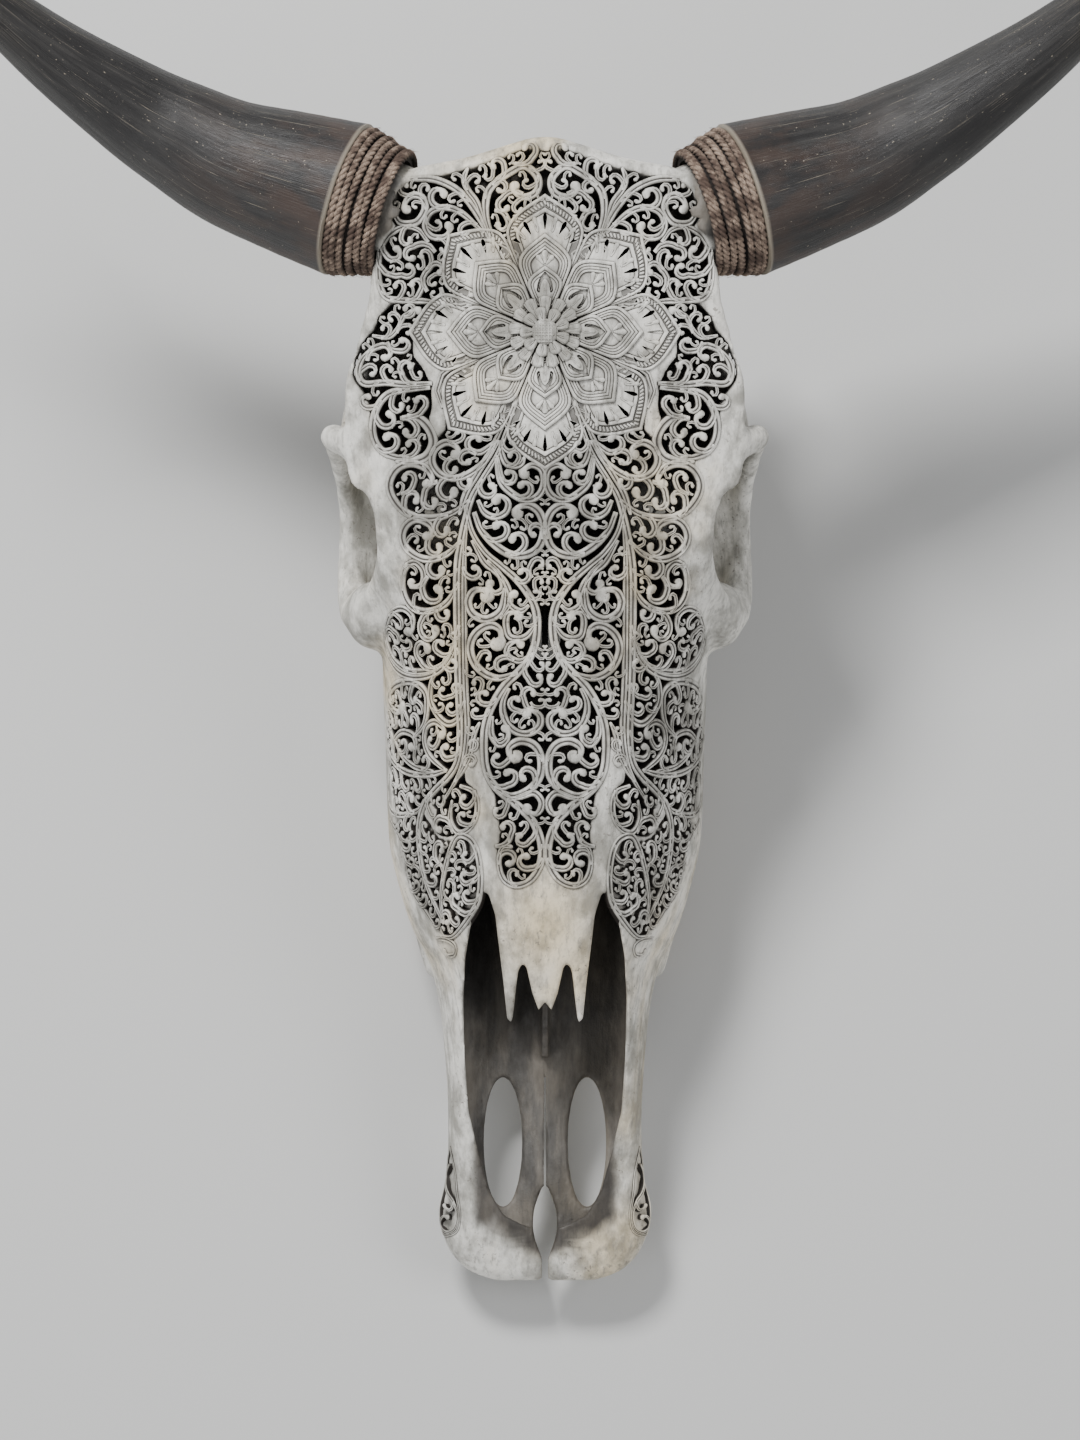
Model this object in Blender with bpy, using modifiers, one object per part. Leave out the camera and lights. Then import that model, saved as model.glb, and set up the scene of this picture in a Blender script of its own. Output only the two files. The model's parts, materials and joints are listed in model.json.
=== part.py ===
"""Carved bull skull: one piece of bone, two horn sheaths, two cord bindings and twelve cheek teeth.

The skull is designed in a face frame: X across, Y along the face from the tip of the muzzle to
the poll, Z out of the face. The tables are in millimetres in that frame. An empty then tips the
face to the attitude in which the skull lies on its teeth and on the two processes behind its ears,
and puts the origin on the table under the middle of the whole object. "Left" is at -X.
"""
import math

import bmesh
import bpy
import numpy as np
from mathutils import Matrix, Vector

MM = 0.001

# Attitude on the table
FACE_TILT = math.atan(0.29)
TABLE_HEIGHT = -70.0          # height of the table under the muzzle tip, before the empty lifts it
ORIGIN_ALONG = 332.7          # the origin lies this far along the table from the muzzle tip
GAP = 0.4                     # clearance between pieces that touch

# Bone blank: a voxel skin over the forms, then fewer triangles
VOXEL = 3.0
SMOOTH_PASSES = 4
BLANK_TRIANGLES = 1500

# Sections of the head from muzzle to poll:
# along, top, roof edge (x, z), widest point (x, z), foot (x, z), floor
HEAD_SECTIONS = (
    (0, -46, (19, -46), (25, -51), (19, -57), -57),
    (4, -44, (28, -44), (36, -50), (28, -58), -58),
    (10, -43, (34, -43), (43.5, -50), (34, -59), -59),
    (20, -41, (38, -41), (49, -50), (40, -60), -60),
    (34, -40, (39, -41), (51.5, -50), (42, -61), -61),
    (50, -38, (38, -40), (47.5, -52), (40, -64), -63),
    (80, -32, (38, -37), (46.5, -54), (41, -70), -68),
    (120, -17, (34, -30), (48, -55), (44, -79), -75),
    (150, -12, (32, -22), (51, -55), (50, -86), -82),
    (168, -11, (34, -19), (61, -60), (56, -92), -87),
    (185, -9, (36, -17), (67, -62), (60, -98), -92),
    (215, -8, (38, -15), (74, -64), (64, -108), -101),
    (245, -7, (42, -14), (75, -66), (66, -117), -110),
    (285, -6, (50, -14), (78, -66), (64, -128), -122),
    (320, -5, (60, -14), (80, -55), (45, -125), -122),
    (360, -3, (74, -12), (84, -40), (36, -132), -128),
    (400, -1, (84, -14), (92, -28), (34, -140), -138),
    (430, 0, (86, -12), (92, -26), (36, -150), -150),
    (455, 1, (80, -9), (86, -24), (45, -156), -158),
    (480, 1, (76, -8), (81, -24), (52, -158), -166),
    (490, 1, (75, -8), (80, -24), (50, -110), -135),
    (508, 0, (73, -8), (78, -24), (48, -75), -92),
    (527, -1, (70, -9), (73, -24), (46, -42), -49),
    (536, -2, (55, -8), (66, -20), (45, -32), -38),
    (542, -3, (30, -7), (38, -16), (30, -25), -29),
    (547, -5, (16, -7), (22, -13), (16, -19), -20),
    (552, -8, (4, -9), (6, -12), (4, -15), -16),
)

# Sections of the hollow of the nose, and of the flat hollow behind the forehead
NOSE_SECTIONS = (
    (24, -44, (30, -44), (38, -50), (30, -53), -53),
    (50, -42, (32, -43), (39, -51), (33, -57), -57),
    (80, -38, (32, -42), (38, -54), (34, -63), -62),
    (120, -23, (28, -36), (40, -55), (36, -71), -69),
    (150, -18, (27, -28), (43, -56), (42, -78), -76),
    (185, -15, (30, -23), (58, -60), (50, -84), -84),
    (215, -14, (32, -21), (66, -62), (54, -92), -93),
    (245, -13, (36, -20), (67, -64), (55, -100), -101),
    (285, -12, (44, -20), (70, -62), (52, -108), -112),
    (320, -16, (40, -24), (48, -58), (38, -104), -108),
    (350, -28, (22, -34), (26, -60), (22, -94), -97),
    (374, -40, (12, -43), (15, -62), (12, -82), -84),
)
FOREHEAD_SECTIONS = (
    (300, -13, (38, -18), (43, -22), (38, -26), -28),
    (345, -9, (58, -15), (63, -19), (56, -24), -28),
    (385, -8, (70, -14), (75, -19), (64, -24), -28),
    (420, -7, (74, -14), (78, -19), (66, -26), -31),
    (460, -6, (71, -13), (75, -18), (62, -27), -33),
    (500, -6, (65, -13), (69, -18), (56, -26), -31),
    (522, -8, (56, -13), (60, -17), (48, -22), -25),
)
SECTION_STEPS = 9             # points between two corners of a half section

# Rim of the eye socket: x, y, z, radius
ORBIT_RIM = (
    (101, 407, -28, 7), (87, 397, -20, 6), (78, 374, -20, 4.5), (77, 347, -28, 5),
    (82, 329, -43, 7), (90, 322, -58, 8), (93, 329, -73, 8), (95, 352, -83, 6),
    (96.5, 378, -80, 4.5), (99, 398, -64, 6), (102, 407, -44, 6),
)
SOCKET = ((67, 369, -58), (37, 33, 27))
SOCKET_MOUTH = ((89, 366, -40), (17, 34, 26))
TEMPORAL_HOLLOW = ((106, 442, -80), (50, 46, 58))
CHEEK_ARCH = ((94, 378, -84, 7), (94, 415, -98, 6), (84, 450, -116, 6), (73, 474, -124, 9))

# Lumps of the base of the skull: centre and radii
BASE_LUMPS = (
    ((75, 488, -118), (11, 13, 11)),
    ((38, 452, -160), (13, 20, 16)),
    ((82, 322, -60), (15, 17, 20)),
)
CONDYLE = ((22, 486, -168), (15, 18, 20))
EAR_PROCESS = ((46, 470, -150, 13), (44, 470, -190, 11), (42, 462, -226, 9))
PALATE_WING = ((19, 296, -118, 5), (18, 322, -138, 5), (17, 352, -150, 5), (18, 388, -146, 5))
MOLAR_RIDGE = ((49, 148, -84, 9), (56, 180, -97, 10), (60, 230, -113, 11), (58, 290, -128, 11))
SEPTUM = ((108, -71), (108, -60), (148, -38), (330, -38), (392, -60), (392, -80), (344, -110), (245, -105))
SEPTUM_THICKNESS = 3.2
BRAINCASE = ((0, 448, -98), (32, 43, 32))
BRAIN_PASSAGE = ((0, 440, -100, 17), (0, 480, -140, 17), (0, 530, -172, 18))
REAR_NOSTRIL = ((0, 318, -128), (13, 26, 22))

# Nose opening, half outline from the middle of the nasal tips round to the muzzle: x, y
NOSE_OPENING = (
    (0, 136.8), (2.9, 131), (6.2, 140), (8.6, 151), (10.1, 156), (13, 150.2), (15.8, 125.3),
    (18.2, 128.2), (20.2, 146.4), (22, 160.8), (24, 177.6), (27.8, 189.6), (32.6, 184.8),
    (36, 171), (38.4, 156.8), (39.4, 136.8), (38.9, 110), (37, 82.6), (32.6, 63.8),
    (27, 44), (20, 32), (10, 27),
)
PALATE_SLOT = {"x": 20.0, "along": 68.0, "half_width": 9.6, "half_length": 33.0}
MUZZLE_CLEFT = ((1.6, -4), (1.6, 10), (5.4, 26), (1.4, 44), (0.6, 74))

# Horns: x, y, z, radius along the middle of the sheath, on the right side
HORN_SPINE = (
    (94.1, 521.8, -30, 37.9), (122, 530.5, -36.5, 34.8), (150.7, 540, -40, 31), (175, 552.5, -40, 27.3),
    (199.7, 566.9, -36, 23.5), (242.9, 596.6, -19, 16.8), (282.7, 631.2, 8, 10.5),
    (313.4, 668.2, 37, 5), (329.3, 692.2, 50, 1.4),
)
HORN_SIDES = 4                # bevel resolution of the sheath
CORE_SPINE = (
    (53, 508.9, -25, 20), (73.6, 515.4, -25.2, 24.6), (94.1, 521.8, -30, 24.5),
    (122, 530.5, -36, 20), (141, 536.4, -39.5, 12),
)
BINDING_TURNS = 4
BINDING = {"inner": 26.2, "skull_side": 31.0, "horn_side": 37.0, "start": -23.5, "end": -0.5, "cord": 2.1}

# Upper cheek teeth on the right side, front to back, in one trench of the bone
TOOTH_LENGTHS = (13, 16, 18, 23, 26, 27)
TOOTH_ROW = ((48.5, 151), (58.5, 284))
TOOTH_ROW_WIDTHS = (15, 21)
TOOTH_ROW_DEPTH = -100.0
TOOTH_HEIGHT = 24.0           # a crown with the root that is in the bone
TOOTH_EDGE = 1.6
GRINDING_FACE = (0.82, 0.95)  # how much narrower and shorter a crown is where it grinds

# Lotus on the forehead. Its outer petals: root, tip, half width, lift and depth
LOTUS_CENTRE = 457.0
LOTUS_PETALS = 8
LOTUS_OUTER = (30, 66, 17, 1.2, 4.6)
ROSETTE = (19, 16.5, 2.2, 4.2)
LOTUS_SLOTS = ((50, 0.16, 7.5, 2.6), (50, -0.16, 7.5, 2.6), (27, 0.0, 8.5, 3.4))

# Scrolls cut through the bone on the right side: x, y, radius, turn of the comma in degrees
SCROLLS = (
    (66, 517, 9.0, 200), (47, 510, 7.0, 120), (9, 531, 7.0, 40), (69, 495, 8.0, 250),
    (73, 420, 11.0, 250), (46.5, 398, 7.5, 150), (62, 383, 10.0, 210), (8.5, 387, 7.0, 330),
    (59.5, 358, 9.0, 215), (24, 375, 7.0, 300), (10, 361, 8.8, 20), (61, 334, 9.0, 200),
    (28, 328, 9.0, 140), (12, 320, 7.0, 320), (60, 310, 8.5, 210), (27, 304, 9.5, 230),
    (67, 279, 9.5, 200), (46, 281, 7.5, 120), (10, 270, 8.5, 130), (58, 258, 8.5, 215),
    (10.8, 250, 9.0, 210), (40, 226, 8.5, 250), (12.5, 206, 9.5, 330), (46, 194, 8.0, 120),
)
COMMA_POINTS = 7
HOLE_OUT = 4.0
HOLE_DEPTH = 9.0


def clear_scene() -> None:
    """Empties the scene, so that the script builds the same model wherever it is run."""
    for item in list(bpy.data.objects):
        bpy.data.objects.remove(item)


def new_collection(name: str) -> bpy.types.Collection:
    """Makes a collection in the scene."""
    group = bpy.data.collections.new(name)
    bpy.context.scene.collection.children.link(group)
    return group


def material(name: str, colour: tuple, roughness: float) -> bpy.types.Material:
    """Makes a Principled material of one colour."""
    finish = bpy.data.materials.new(name)
    finish.use_nodes = True
    shader = finish.node_tree.nodes["Principled BSDF"]
    shader.inputs["Base Color"].default_value = (*colour, 1.0)
    shader.inputs["Roughness"].default_value = roughness
    shader.inputs["Metallic"].default_value = 0.0
    finish.diffuse_color = (*colour, 1.0)
    return finish


# Curves and sections

def eased(keys: np.ndarray, values: np.ndarray, at: np.ndarray) -> np.ndarray:
    """Reads a smooth curve through the keys that never overshoots them."""
    steps = np.diff(keys)
    slopes = np.diff(values) / steps
    tangents = np.zeros(len(keys))
    tangents[0], tangents[-1] = slopes[0], slopes[-1]
    same = slopes[:-1] * slopes[1:] > 0
    means = 2 * slopes[:-1] * slopes[1:] / np.where(same, slopes[:-1] + slopes[1:], 1.0)
    tangents[1:-1] = np.where(same, means, 0.0)
    index = np.clip(np.searchsorted(keys, at) - 1, 0, len(steps) - 1)
    t = (at - keys[index]) / steps[index]
    return ((2 * t**3 - 3 * t**2 + 1) * values[index] + (t**3 - 2 * t**2 + t) * steps[index] * tangents[index]
            + (3 * t**2 - 2 * t**3) * values[index + 1] + (t**3 - t**2) * steps[index] * tangents[index + 1])


def spline(points: list, steps: int) -> np.ndarray:
    """Runs a smooth curve through points, with the given number of steps between two of them."""
    ends = [2 * np.subtract(points[0], 0) - points[1], *points, 2 * np.subtract(points[-1], 0) - points[-2]]
    knots = np.array(ends, dtype=float)
    curve = []
    for a, b, c, d in zip(knots, knots[1:], knots[2:], knots[3:]):
        for t in np.arange(steps) / steps:
            curve.append(0.5 * (2 * b + (c - a) * t + (2 * a - 5 * b + 4 * c - d) * t**2
                                + (3 * b - a - 3 * c + d) * t**3))
    curve.append(knots[-2])
    return np.array(curve)


def section_at(sections: tuple, along: float) -> np.ndarray:
    """Gives the half section there, from the middle of the roof to the middle of the floor: x, z."""
    keys = np.array([row[0] for row in sections], dtype=float)
    table = np.array([[row[1], *row[2], *row[3], *row[4], row[5]] for row in sections], dtype=float)
    top, rx, rz, sx, sz, fx, fz, floor = [eased(keys, column, np.array([along]))[0] for column in table.T]
    corners = [(-rx, rz), (0, top), (rx, rz), (sx, sz), (fx, fz), (0, floor), (-fx, fz)]
    full = spline([np.array(corner, dtype=float) for corner in corners], SECTION_STEPS)
    half = full[SECTION_STEPS:-SECTION_STEPS]
    half[0, 0] = half[-1, 0] = 0.0
    return np.column_stack([np.maximum(half[:, 0], 0.0), half[:, 1]])


def loft(name: str, sections: tuple, group: bpy.types.Collection, between: int = 1,
         stride: int = 3) -> bpy.types.Object:
    """Skins the sections into one closed form, with more sections eased in between them."""
    keys = [row[0] for row in sections]
    places = [near + (far - near) * i / between for near, far in zip(keys, keys[1:]) for i in range(between)]
    mesh = bmesh.new()
    rings = []
    for along in [*places, keys[-1]]:
        half = section_at(sections, along)[::stride]
        outline = list(half) + [(-x, z) for x, z in half[-2:0:-1]]
        rings.append([mesh.verts.new((x * MM, along * MM, z * MM)) for x, z in outline])
    for near, far in zip(rings, rings[1:]):
        for i in range(len(near)):
            j = (i + 1) % len(near)
            mesh.faces.new((near[i], near[j], far[j], far[i]))
    mesh.faces.new(rings[0])
    mesh.faces.new(rings[-1])
    bmesh.ops.recalc_face_normals(mesh, faces=mesh.faces)
    return to_object(name, mesh, group)


def to_object(name: str, mesh: bmesh.types.BMesh, group: bpy.types.Collection) -> bpy.types.Object:
    """Makes an object from a bmesh and frees the bmesh."""
    data = bpy.data.meshes.new(name)
    mesh.to_mesh(data)
    mesh.free()
    item = bpy.data.objects.new(name, data)
    group.objects.link(item)
    return item


def from_curve(item: bpy.types.Object, group: bpy.types.Collection) -> bpy.types.Object:
    """Turns a curve object into a mesh object with its caps welded on, and removes the curve."""
    data = bpy.data.meshes.new_from_object(item.evaluated_get(bpy.context.evaluated_depsgraph_get()))
    mesh = bmesh.new()
    mesh.from_mesh(data)
    bpy.data.meshes.remove(data)
    bmesh.ops.remove_doubles(mesh, verts=mesh.verts, dist=0.00005)
    bmesh.ops.recalc_face_normals(mesh, faces=mesh.faces)
    name = item.name
    bpy.data.objects.remove(item)
    return to_object(name, mesh, group)


def limb(name: str, points: tuple, group: bpy.types.Collection, side: int = 1, closed: bool = False,
         steps: int = 4, sides: int = 4) -> bpy.types.Object:
    """Makes a round limb of varying thickness through points of x, y, z and radius."""
    path = [np.array(point, dtype=float) for point in points]
    if closed:
        path = [path[-1], *path, path[0], path[1]]
        line = spline(path, steps)[steps:-steps - 1]
        line = line[:len(points) * steps]
    else:
        line = spline(path, steps)
    curve = bpy.data.curves.new(name, "CURVE")
    curve.dimensions = "3D"
    curve.bevel_depth = MM
    curve.bevel_resolution = sides
    curve.use_fill_caps = True
    run = curve.splines.new("POLY")
    run.points.add(len(line) - 1)
    for point, (x, y, z, radius) in zip(run.points, line):
        point.co = (side * x * MM, y * MM, z * MM, 1.0)
        point.radius = radius
    run.use_cyclic_u = closed
    item = bpy.data.objects.new(name, curve)
    group.objects.link(item)
    bpy.context.view_layer.update()
    return from_curve(item, group)


def ellipsoid(name: str, centre: tuple, radii: tuple, group: bpy.types.Collection, side: int = 1,
              segments: int = 16) -> bpy.types.Object:
    """Makes an ellipsoid."""
    mesh = bmesh.new()
    bmesh.ops.create_uvsphere(mesh, u_segments=segments, v_segments=segments // 2 + 2, radius=1.0)
    place = Matrix.Translation(Vector((side * centre[0], centre[1], centre[2])) * MM)
    size = Matrix.Diagonal((radii[0] * MM, radii[1] * MM, radii[2] * MM, 1.0))
    bmesh.ops.transform(mesh, matrix=place @ size, verts=mesh.verts)
    return to_object(name, mesh, group)


def upright_prism(name: str, outline: list, low: float, high: float,
                  group: bpy.types.Collection) -> bpy.types.Object:
    """Makes a prism of an outline in x and y, from one height to the other."""
    mesh = bmesh.new()
    base = mesh.faces.new([mesh.verts.new((x * MM, y * MM, low * MM)) for x, y in outline])
    top = bmesh.ops.extrude_face_region(mesh, geom=[base])["geom"]
    raised = [item for item in top if isinstance(item, bmesh.types.BMVert)]
    bmesh.ops.translate(mesh, vec=(0, 0, (high - low) * MM), verts=raised)
    bmesh.ops.recalc_face_normals(mesh, faces=mesh.faces)
    return to_object(name, mesh, group)


def join(name: str, items: list, group: bpy.types.Collection) -> bpy.types.Object:
    """Puts several mesh objects into one, and removes them."""
    mesh = bmesh.new()
    for item in items:
        mesh.from_mesh(item.data)
        bpy.data.objects.remove(item)
    return to_object(name, mesh, group)


def use_boolean(item: bpy.types.Object, cutter: bpy.types.Object, operation: str = "DIFFERENCE",
                solver: str = "EXACT") -> None:
    """Adds a Boolean modifier named for its cutter.

    The manifold solver is for the many small cuts, in which the exact one loses the bone.
    """
    step = item.modifiers.new(cutter.name, "BOOLEAN")
    step.operation = operation
    step.object = cutter
    step.solver = solver


def hide_cutters(group: bpy.types.Collection) -> None:
    """Marks every object of the group as a cutter."""
    for item in group.objects:
        item.hide_render = True
        item.display_type = "WIRE"


# The face as a surface that the carving is laid on

def face_point(across: float, along: float, lift: float) -> Vector:
    """Gives the point at a distance across the face from its middle, lifted off the bone."""
    half = section_at(HEAD_SECTIONS, along)
    lengths = np.concatenate([[0.0], np.cumsum(np.hypot(*np.diff(half, axis=0).T))])
    reach = min(abs(across), lengths[-1])
    x = np.interp(reach, lengths, half[:, 0])
    z = np.interp(reach, lengths, half[:, 1])
    x_on = np.interp(reach + 1.0, lengths, half[:, 0])
    z_on = np.interp(reach + 1.0, lengths, half[:, 1])
    outward = Vector((z - z_on, 0.0, x_on - x)).normalized()
    point = Vector((x, along, z)) + outward * lift
    if across < 0:
        point.x = -point.x
    return point * MM


def across_at(x: float, along: float) -> float:
    """Gives the distance across the face at which the surface has reached x."""
    half = section_at(HEAD_SECTIONS, along)
    lengths = np.concatenate([[0.0], np.cumsum(np.hypot(*np.diff(half, axis=0).T))])
    widest = int(np.argmax(half[:, 0]))
    return float(np.interp(x, half[:widest + 1, 0], lengths[:widest + 1]))


def laid_prisms(name: str, outlines: list, out: float, depth: float,
                group: bpy.types.Collection) -> bpy.types.Object:
    """Lays outlines on the face and gives each a top and a bottom at a distance from the bone."""
    mesh = bmesh.new()
    for outline in outlines:
        middle = np.mean(outline, axis=0)
        layers = []
        for lift in (out, -depth):
            hub = mesh.verts.new(face_point(*middle, lift))
            ring = [mesh.verts.new(face_point(across, along, lift)) for across, along in outline]
            layers.append((hub, ring))
        (top, upper), (foot, lower) = layers
        for i in range(len(outline)):
            j = (i + 1) % len(outline)
            mesh.faces.new((top, upper[i], upper[j]))
            mesh.faces.new((foot, lower[j], lower[i]))
            mesh.faces.new((upper[i], lower[i], lower[j], upper[j]))
    bmesh.ops.recalc_face_normals(mesh, faces=mesh.faces)
    return to_object(name, mesh, group)


def comma(across: float, along: float, radius: float, turn: float) -> list:
    """Gives the outline of a comma-shaped hole: a round head with a tail that curls round."""
    outline = []
    for i in range(COMMA_POINTS):
        angle = 2 * math.pi * i / COMMA_POINTS
        reach = radius * (0.58 + 0.42 * (i / (COMMA_POINTS - 1)) ** 2)
        direction = angle + math.radians(turn)
        outline.append((across + reach * math.cos(direction), along + reach * math.sin(direction)))
    return outline


def around_lotus(shape: list, turn: float) -> list:
    """Turns an outline of reach and offset about the middle of the lotus."""
    c, s = math.cos(turn), math.sin(turn)
    return [(reach * c - offset * s, LOTUS_CENTRE + reach * s + offset * c) for reach, offset in shape]


def petal_turns() -> list:
    """Gives the direction of each petal, the first one toward the poll."""
    return [math.pi / 2 + 2 * math.pi * number / LOTUS_PETALS for number in range(LOTUS_PETALS)]


def petal(root: float, tip: float, half_width: float) -> list:
    """Gives the outline of a lotus petal as reach and offset."""
    widths = ((0.0, 0.6), (0.4, 1.0), (0.75, 0.82), (1.0, 0.0))
    right = [(root + (tip - root) * share, half_width * wide) for share, wide in widths]
    return right + [(reach, -wide) for reach, wide in reversed(right[:-1])]


def rosette(crest: float, dip: float) -> list:
    """Gives the scalloped outline of the rosette."""
    count = 2 * LOTUS_PETALS
    return [((crest, dip)[i % 2] * math.cos(2 * math.pi * i / count),
             (crest, dip)[i % 2] * math.sin(2 * math.pi * i / count)) for i in range(count)]


def lotus_slots() -> list:
    """Gives the outlines of the drop-shaped holes in the petals."""
    slots = []
    for turn in petal_turns():
        for reach, fan, half_length, half_width in LOTUS_SLOTS:
            drop = [(reach - half_length, 0.0), (reach + 0.3 * half_length, half_width),
                    (reach + half_length, 0.0), (reach + 0.3 * half_length, -half_width)]
            slots.append(around_lotus(drop, turn + fan))
    return slots


def scroll_outlines() -> list:
    """Gives the outlines of the comma-shaped holes on both sides of the face."""
    outlines = []
    for x, along, radius, turn in SCROLLS:
        outline = comma(across_at(x, along), along, radius, turn)
        outlines.append(outline)
        outlines.append([(-across, y) for across, y in reversed(outline)])
    return outlines


# Pieces of the skull

def hollowed_head(group: bpy.types.Collection) -> bpy.types.Object:
    """Makes the head with its eye sockets and the hollows at its temples."""
    head = loft("head", HEAD_SECTIONS, group, between=3, stride=1)
    hollows = []
    for side in (-1, 1):
        for centre, radii in (SOCKET, SOCKET_MOUTH, TEMPORAL_HOLLOW):
            hollows.append(ellipsoid("hollow", centre, radii, group, side, 32))
            use_boolean(head, hollows[-1])
    bpy.context.view_layer.update()
    data = bpy.data.meshes.new_from_object(head.evaluated_get(bpy.context.evaluated_depsgraph_get()))
    for item in [head, *hollows]:
        bpy.data.objects.remove(item)
    cut = bpy.data.objects.new("hollowed_head", data)
    group.objects.link(cut)
    return cut


def bone_forms(group: bpy.types.Collection) -> bpy.types.Object:
    """Joins the outer forms of the head, which the skin then makes one."""
    forms = [hollowed_head(group)]
    for side in (-1, 1):
        forms.append(limb("orbit_rim", ORBIT_RIM, group, side, closed=True))
        forms.append(limb("cheek_arch", CHEEK_ARCH, group, side))
        forms.append(limb("ear_process", EAR_PROCESS, group, side))
        forms.append(limb("palate_wing", PALATE_WING, group, side))
        forms.append(limb("molar_ridge", MOLAR_RIDGE, group, side))
        forms.append(ellipsoid("condyle", *CONDYLE, group, side))
        for centre, radii in BASE_LUMPS:
            forms.append(ellipsoid("lump", centre, radii, group, side))
    return join("skull", forms, group)


def nose_opening(group: bpy.types.Collection) -> bpy.types.Object:
    """Makes the cutter of the nose opening, which leaves the prongs of the nasal bones."""
    outline = list(NOSE_OPENING) + [(-x, y) for x, y in reversed(NOSE_OPENING[1:])]
    return upright_prism("nose_opening", outline, -52, 20, group)


def palate_slots(group: bpy.types.Collection) -> bpy.types.Object:
    """Makes the cutters of the two long holes in the front of the palate."""
    slots = []
    for side in (-1, 1):
        outline = []
        for i in range(12):
            angle = 2 * math.pi * i / 12
            outline.append((side * PALATE_SLOT["x"] + PALATE_SLOT["half_width"] * math.cos(angle),
                            PALATE_SLOT["along"] + PALATE_SLOT["half_length"] * math.sin(angle)))
        slots.append(upright_prism("palate_slot", outline, -90, -48, group))
    return join("palate_slots", slots, group)


def muzzle_cleft(group: bpy.types.Collection) -> bpy.types.Object:
    """Makes the cutter of the cleft between the two halves of the muzzle."""
    outline = list(MUZZLE_CLEFT) + [(-x, y) for x, y in reversed(MUZZLE_CLEFT)]
    return upright_prism("muzzle_cleft", outline, -90, -20, group)


def septum(group: bpy.types.Collection) -> bpy.types.Object:
    """Makes the thin plate that stands along the middle of the nose."""
    mesh = bmesh.new()
    half = SEPTUM_THICKNESS / 2
    face = mesh.faces.new([mesh.verts.new((-half * MM, y * MM, z * MM)) for y, z in SEPTUM])
    top = bmesh.ops.extrude_face_region(mesh, geom=[face])["geom"]
    moved = [item for item in top if isinstance(item, bmesh.types.BMVert)]
    bmesh.ops.translate(mesh, vec=(2 * half * MM, 0, 0), verts=moved)
    bmesh.ops.recalc_face_normals(mesh, faces=mesh.faces)
    return to_object("septum", mesh, group)


def table_cutter(group: bpy.types.Collection) -> bpy.types.Object:
    """Makes the block that cuts the processes behind the ears off level with the table."""
    mesh = bmesh.new()
    bmesh.ops.create_cube(mesh, size=1.0)
    size = Matrix.Diagonal((0.4, 1.2, 0.2, 1.0))
    level = Matrix.Translation((0, 0.2, TABLE_HEIGHT * MM - 0.1))
    bmesh.ops.transform(mesh, matrix=Matrix.Rotation(-FACE_TILT, 4, "X") @ level @ size, verts=mesh.verts)
    return to_object("table_cutter", mesh, group)


def turned(name: str, profile: list, steps: int, group: bpy.types.Collection, side: int,
           bored: bool) -> bpy.types.Object:
    """Turns a profile of radius and distance about the axis of the horn's base.

    A bored profile is a closed loop clear of the axis; any other runs from the axis back to it.
    """
    mesh = bmesh.new()
    chain = [mesh.verts.new((radius * MM, 0, along * MM)) for radius, along in profile]
    edges = [mesh.edges.new(pair) for pair in zip(chain, chain[1:])]
    if bored:
        edges.append(mesh.edges.new((chain[-1], chain[0])))
    bmesh.ops.spin(mesh, geom=chain + edges, cent=(0, 0, 0), axis=(0, 0, 1), angle=2 * math.pi,
                   steps=steps, use_merge=True)
    bmesh.ops.remove_doubles(mesh, verts=mesh.verts, dist=0.00002)
    start, on = Vector(HORN_SPINE[0][:3]), Vector(HORN_SPINE[1][:3])
    axis = (on - start).normalized()
    place = Matrix.Translation(start * MM) @ axis.to_track_quat("Z", "Y").to_matrix().to_4x4()
    bmesh.ops.transform(mesh, matrix=Matrix.Diagonal((side, 1, 1, 1)) @ place, verts=mesh.verts)
    bmesh.ops.recalc_face_normals(mesh, faces=mesh.faces)
    return to_object(name, mesh, group)


def binding_profile() -> list:
    """Gives the ring's profile: a bore, and outside it the rounded turns of the cord."""
    start, end = BINDING["start"], BINDING["end"]
    width = (end - start) / BINDING_TURNS
    profile = [(BINDING["inner"], end), (BINDING["inner"], start)]
    for turn in range(BINDING_TURNS):
        share = turn / (BINDING_TURNS - 1)
        crest = BINDING["skull_side"] + (BINDING["horn_side"] - BINDING["skull_side"]) * share
        begin = start + turn * width
        profile.append((crest - BINDING["cord"], begin + 0.06 * width))
        profile.append((crest, begin + 0.5 * width))
    profile.append((BINDING["horn_side"] - BINDING["cord"], end))
    return profile


def room_profile() -> list:
    """Gives the profile of the room that the binding takes out of the corner of the skull."""
    return [(0.0, BINDING["start"] - GAP), (BINDING["skull_side"] + 1.0, BINDING["start"] - GAP),
            (BINDING["horn_side"] + 2.0, -8.0), (60.0, 0.0), (60.0, 30.0), (0.0, 30.0)]


def tooth_places() -> list:
    """Gives where each tooth of the right row starts and ends, as shares of the row's length."""
    row = math.dist(*TOOTH_ROW)
    spare = (row - sum(TOOTH_LENGTHS)) / (len(TOOTH_LENGTHS) - 1)
    places = []
    reach = 0.0
    for length in TOOTH_LENGTHS:
        places.append((reach / row, (reach + length) / row))
        reach += length + spare
    return places


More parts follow.
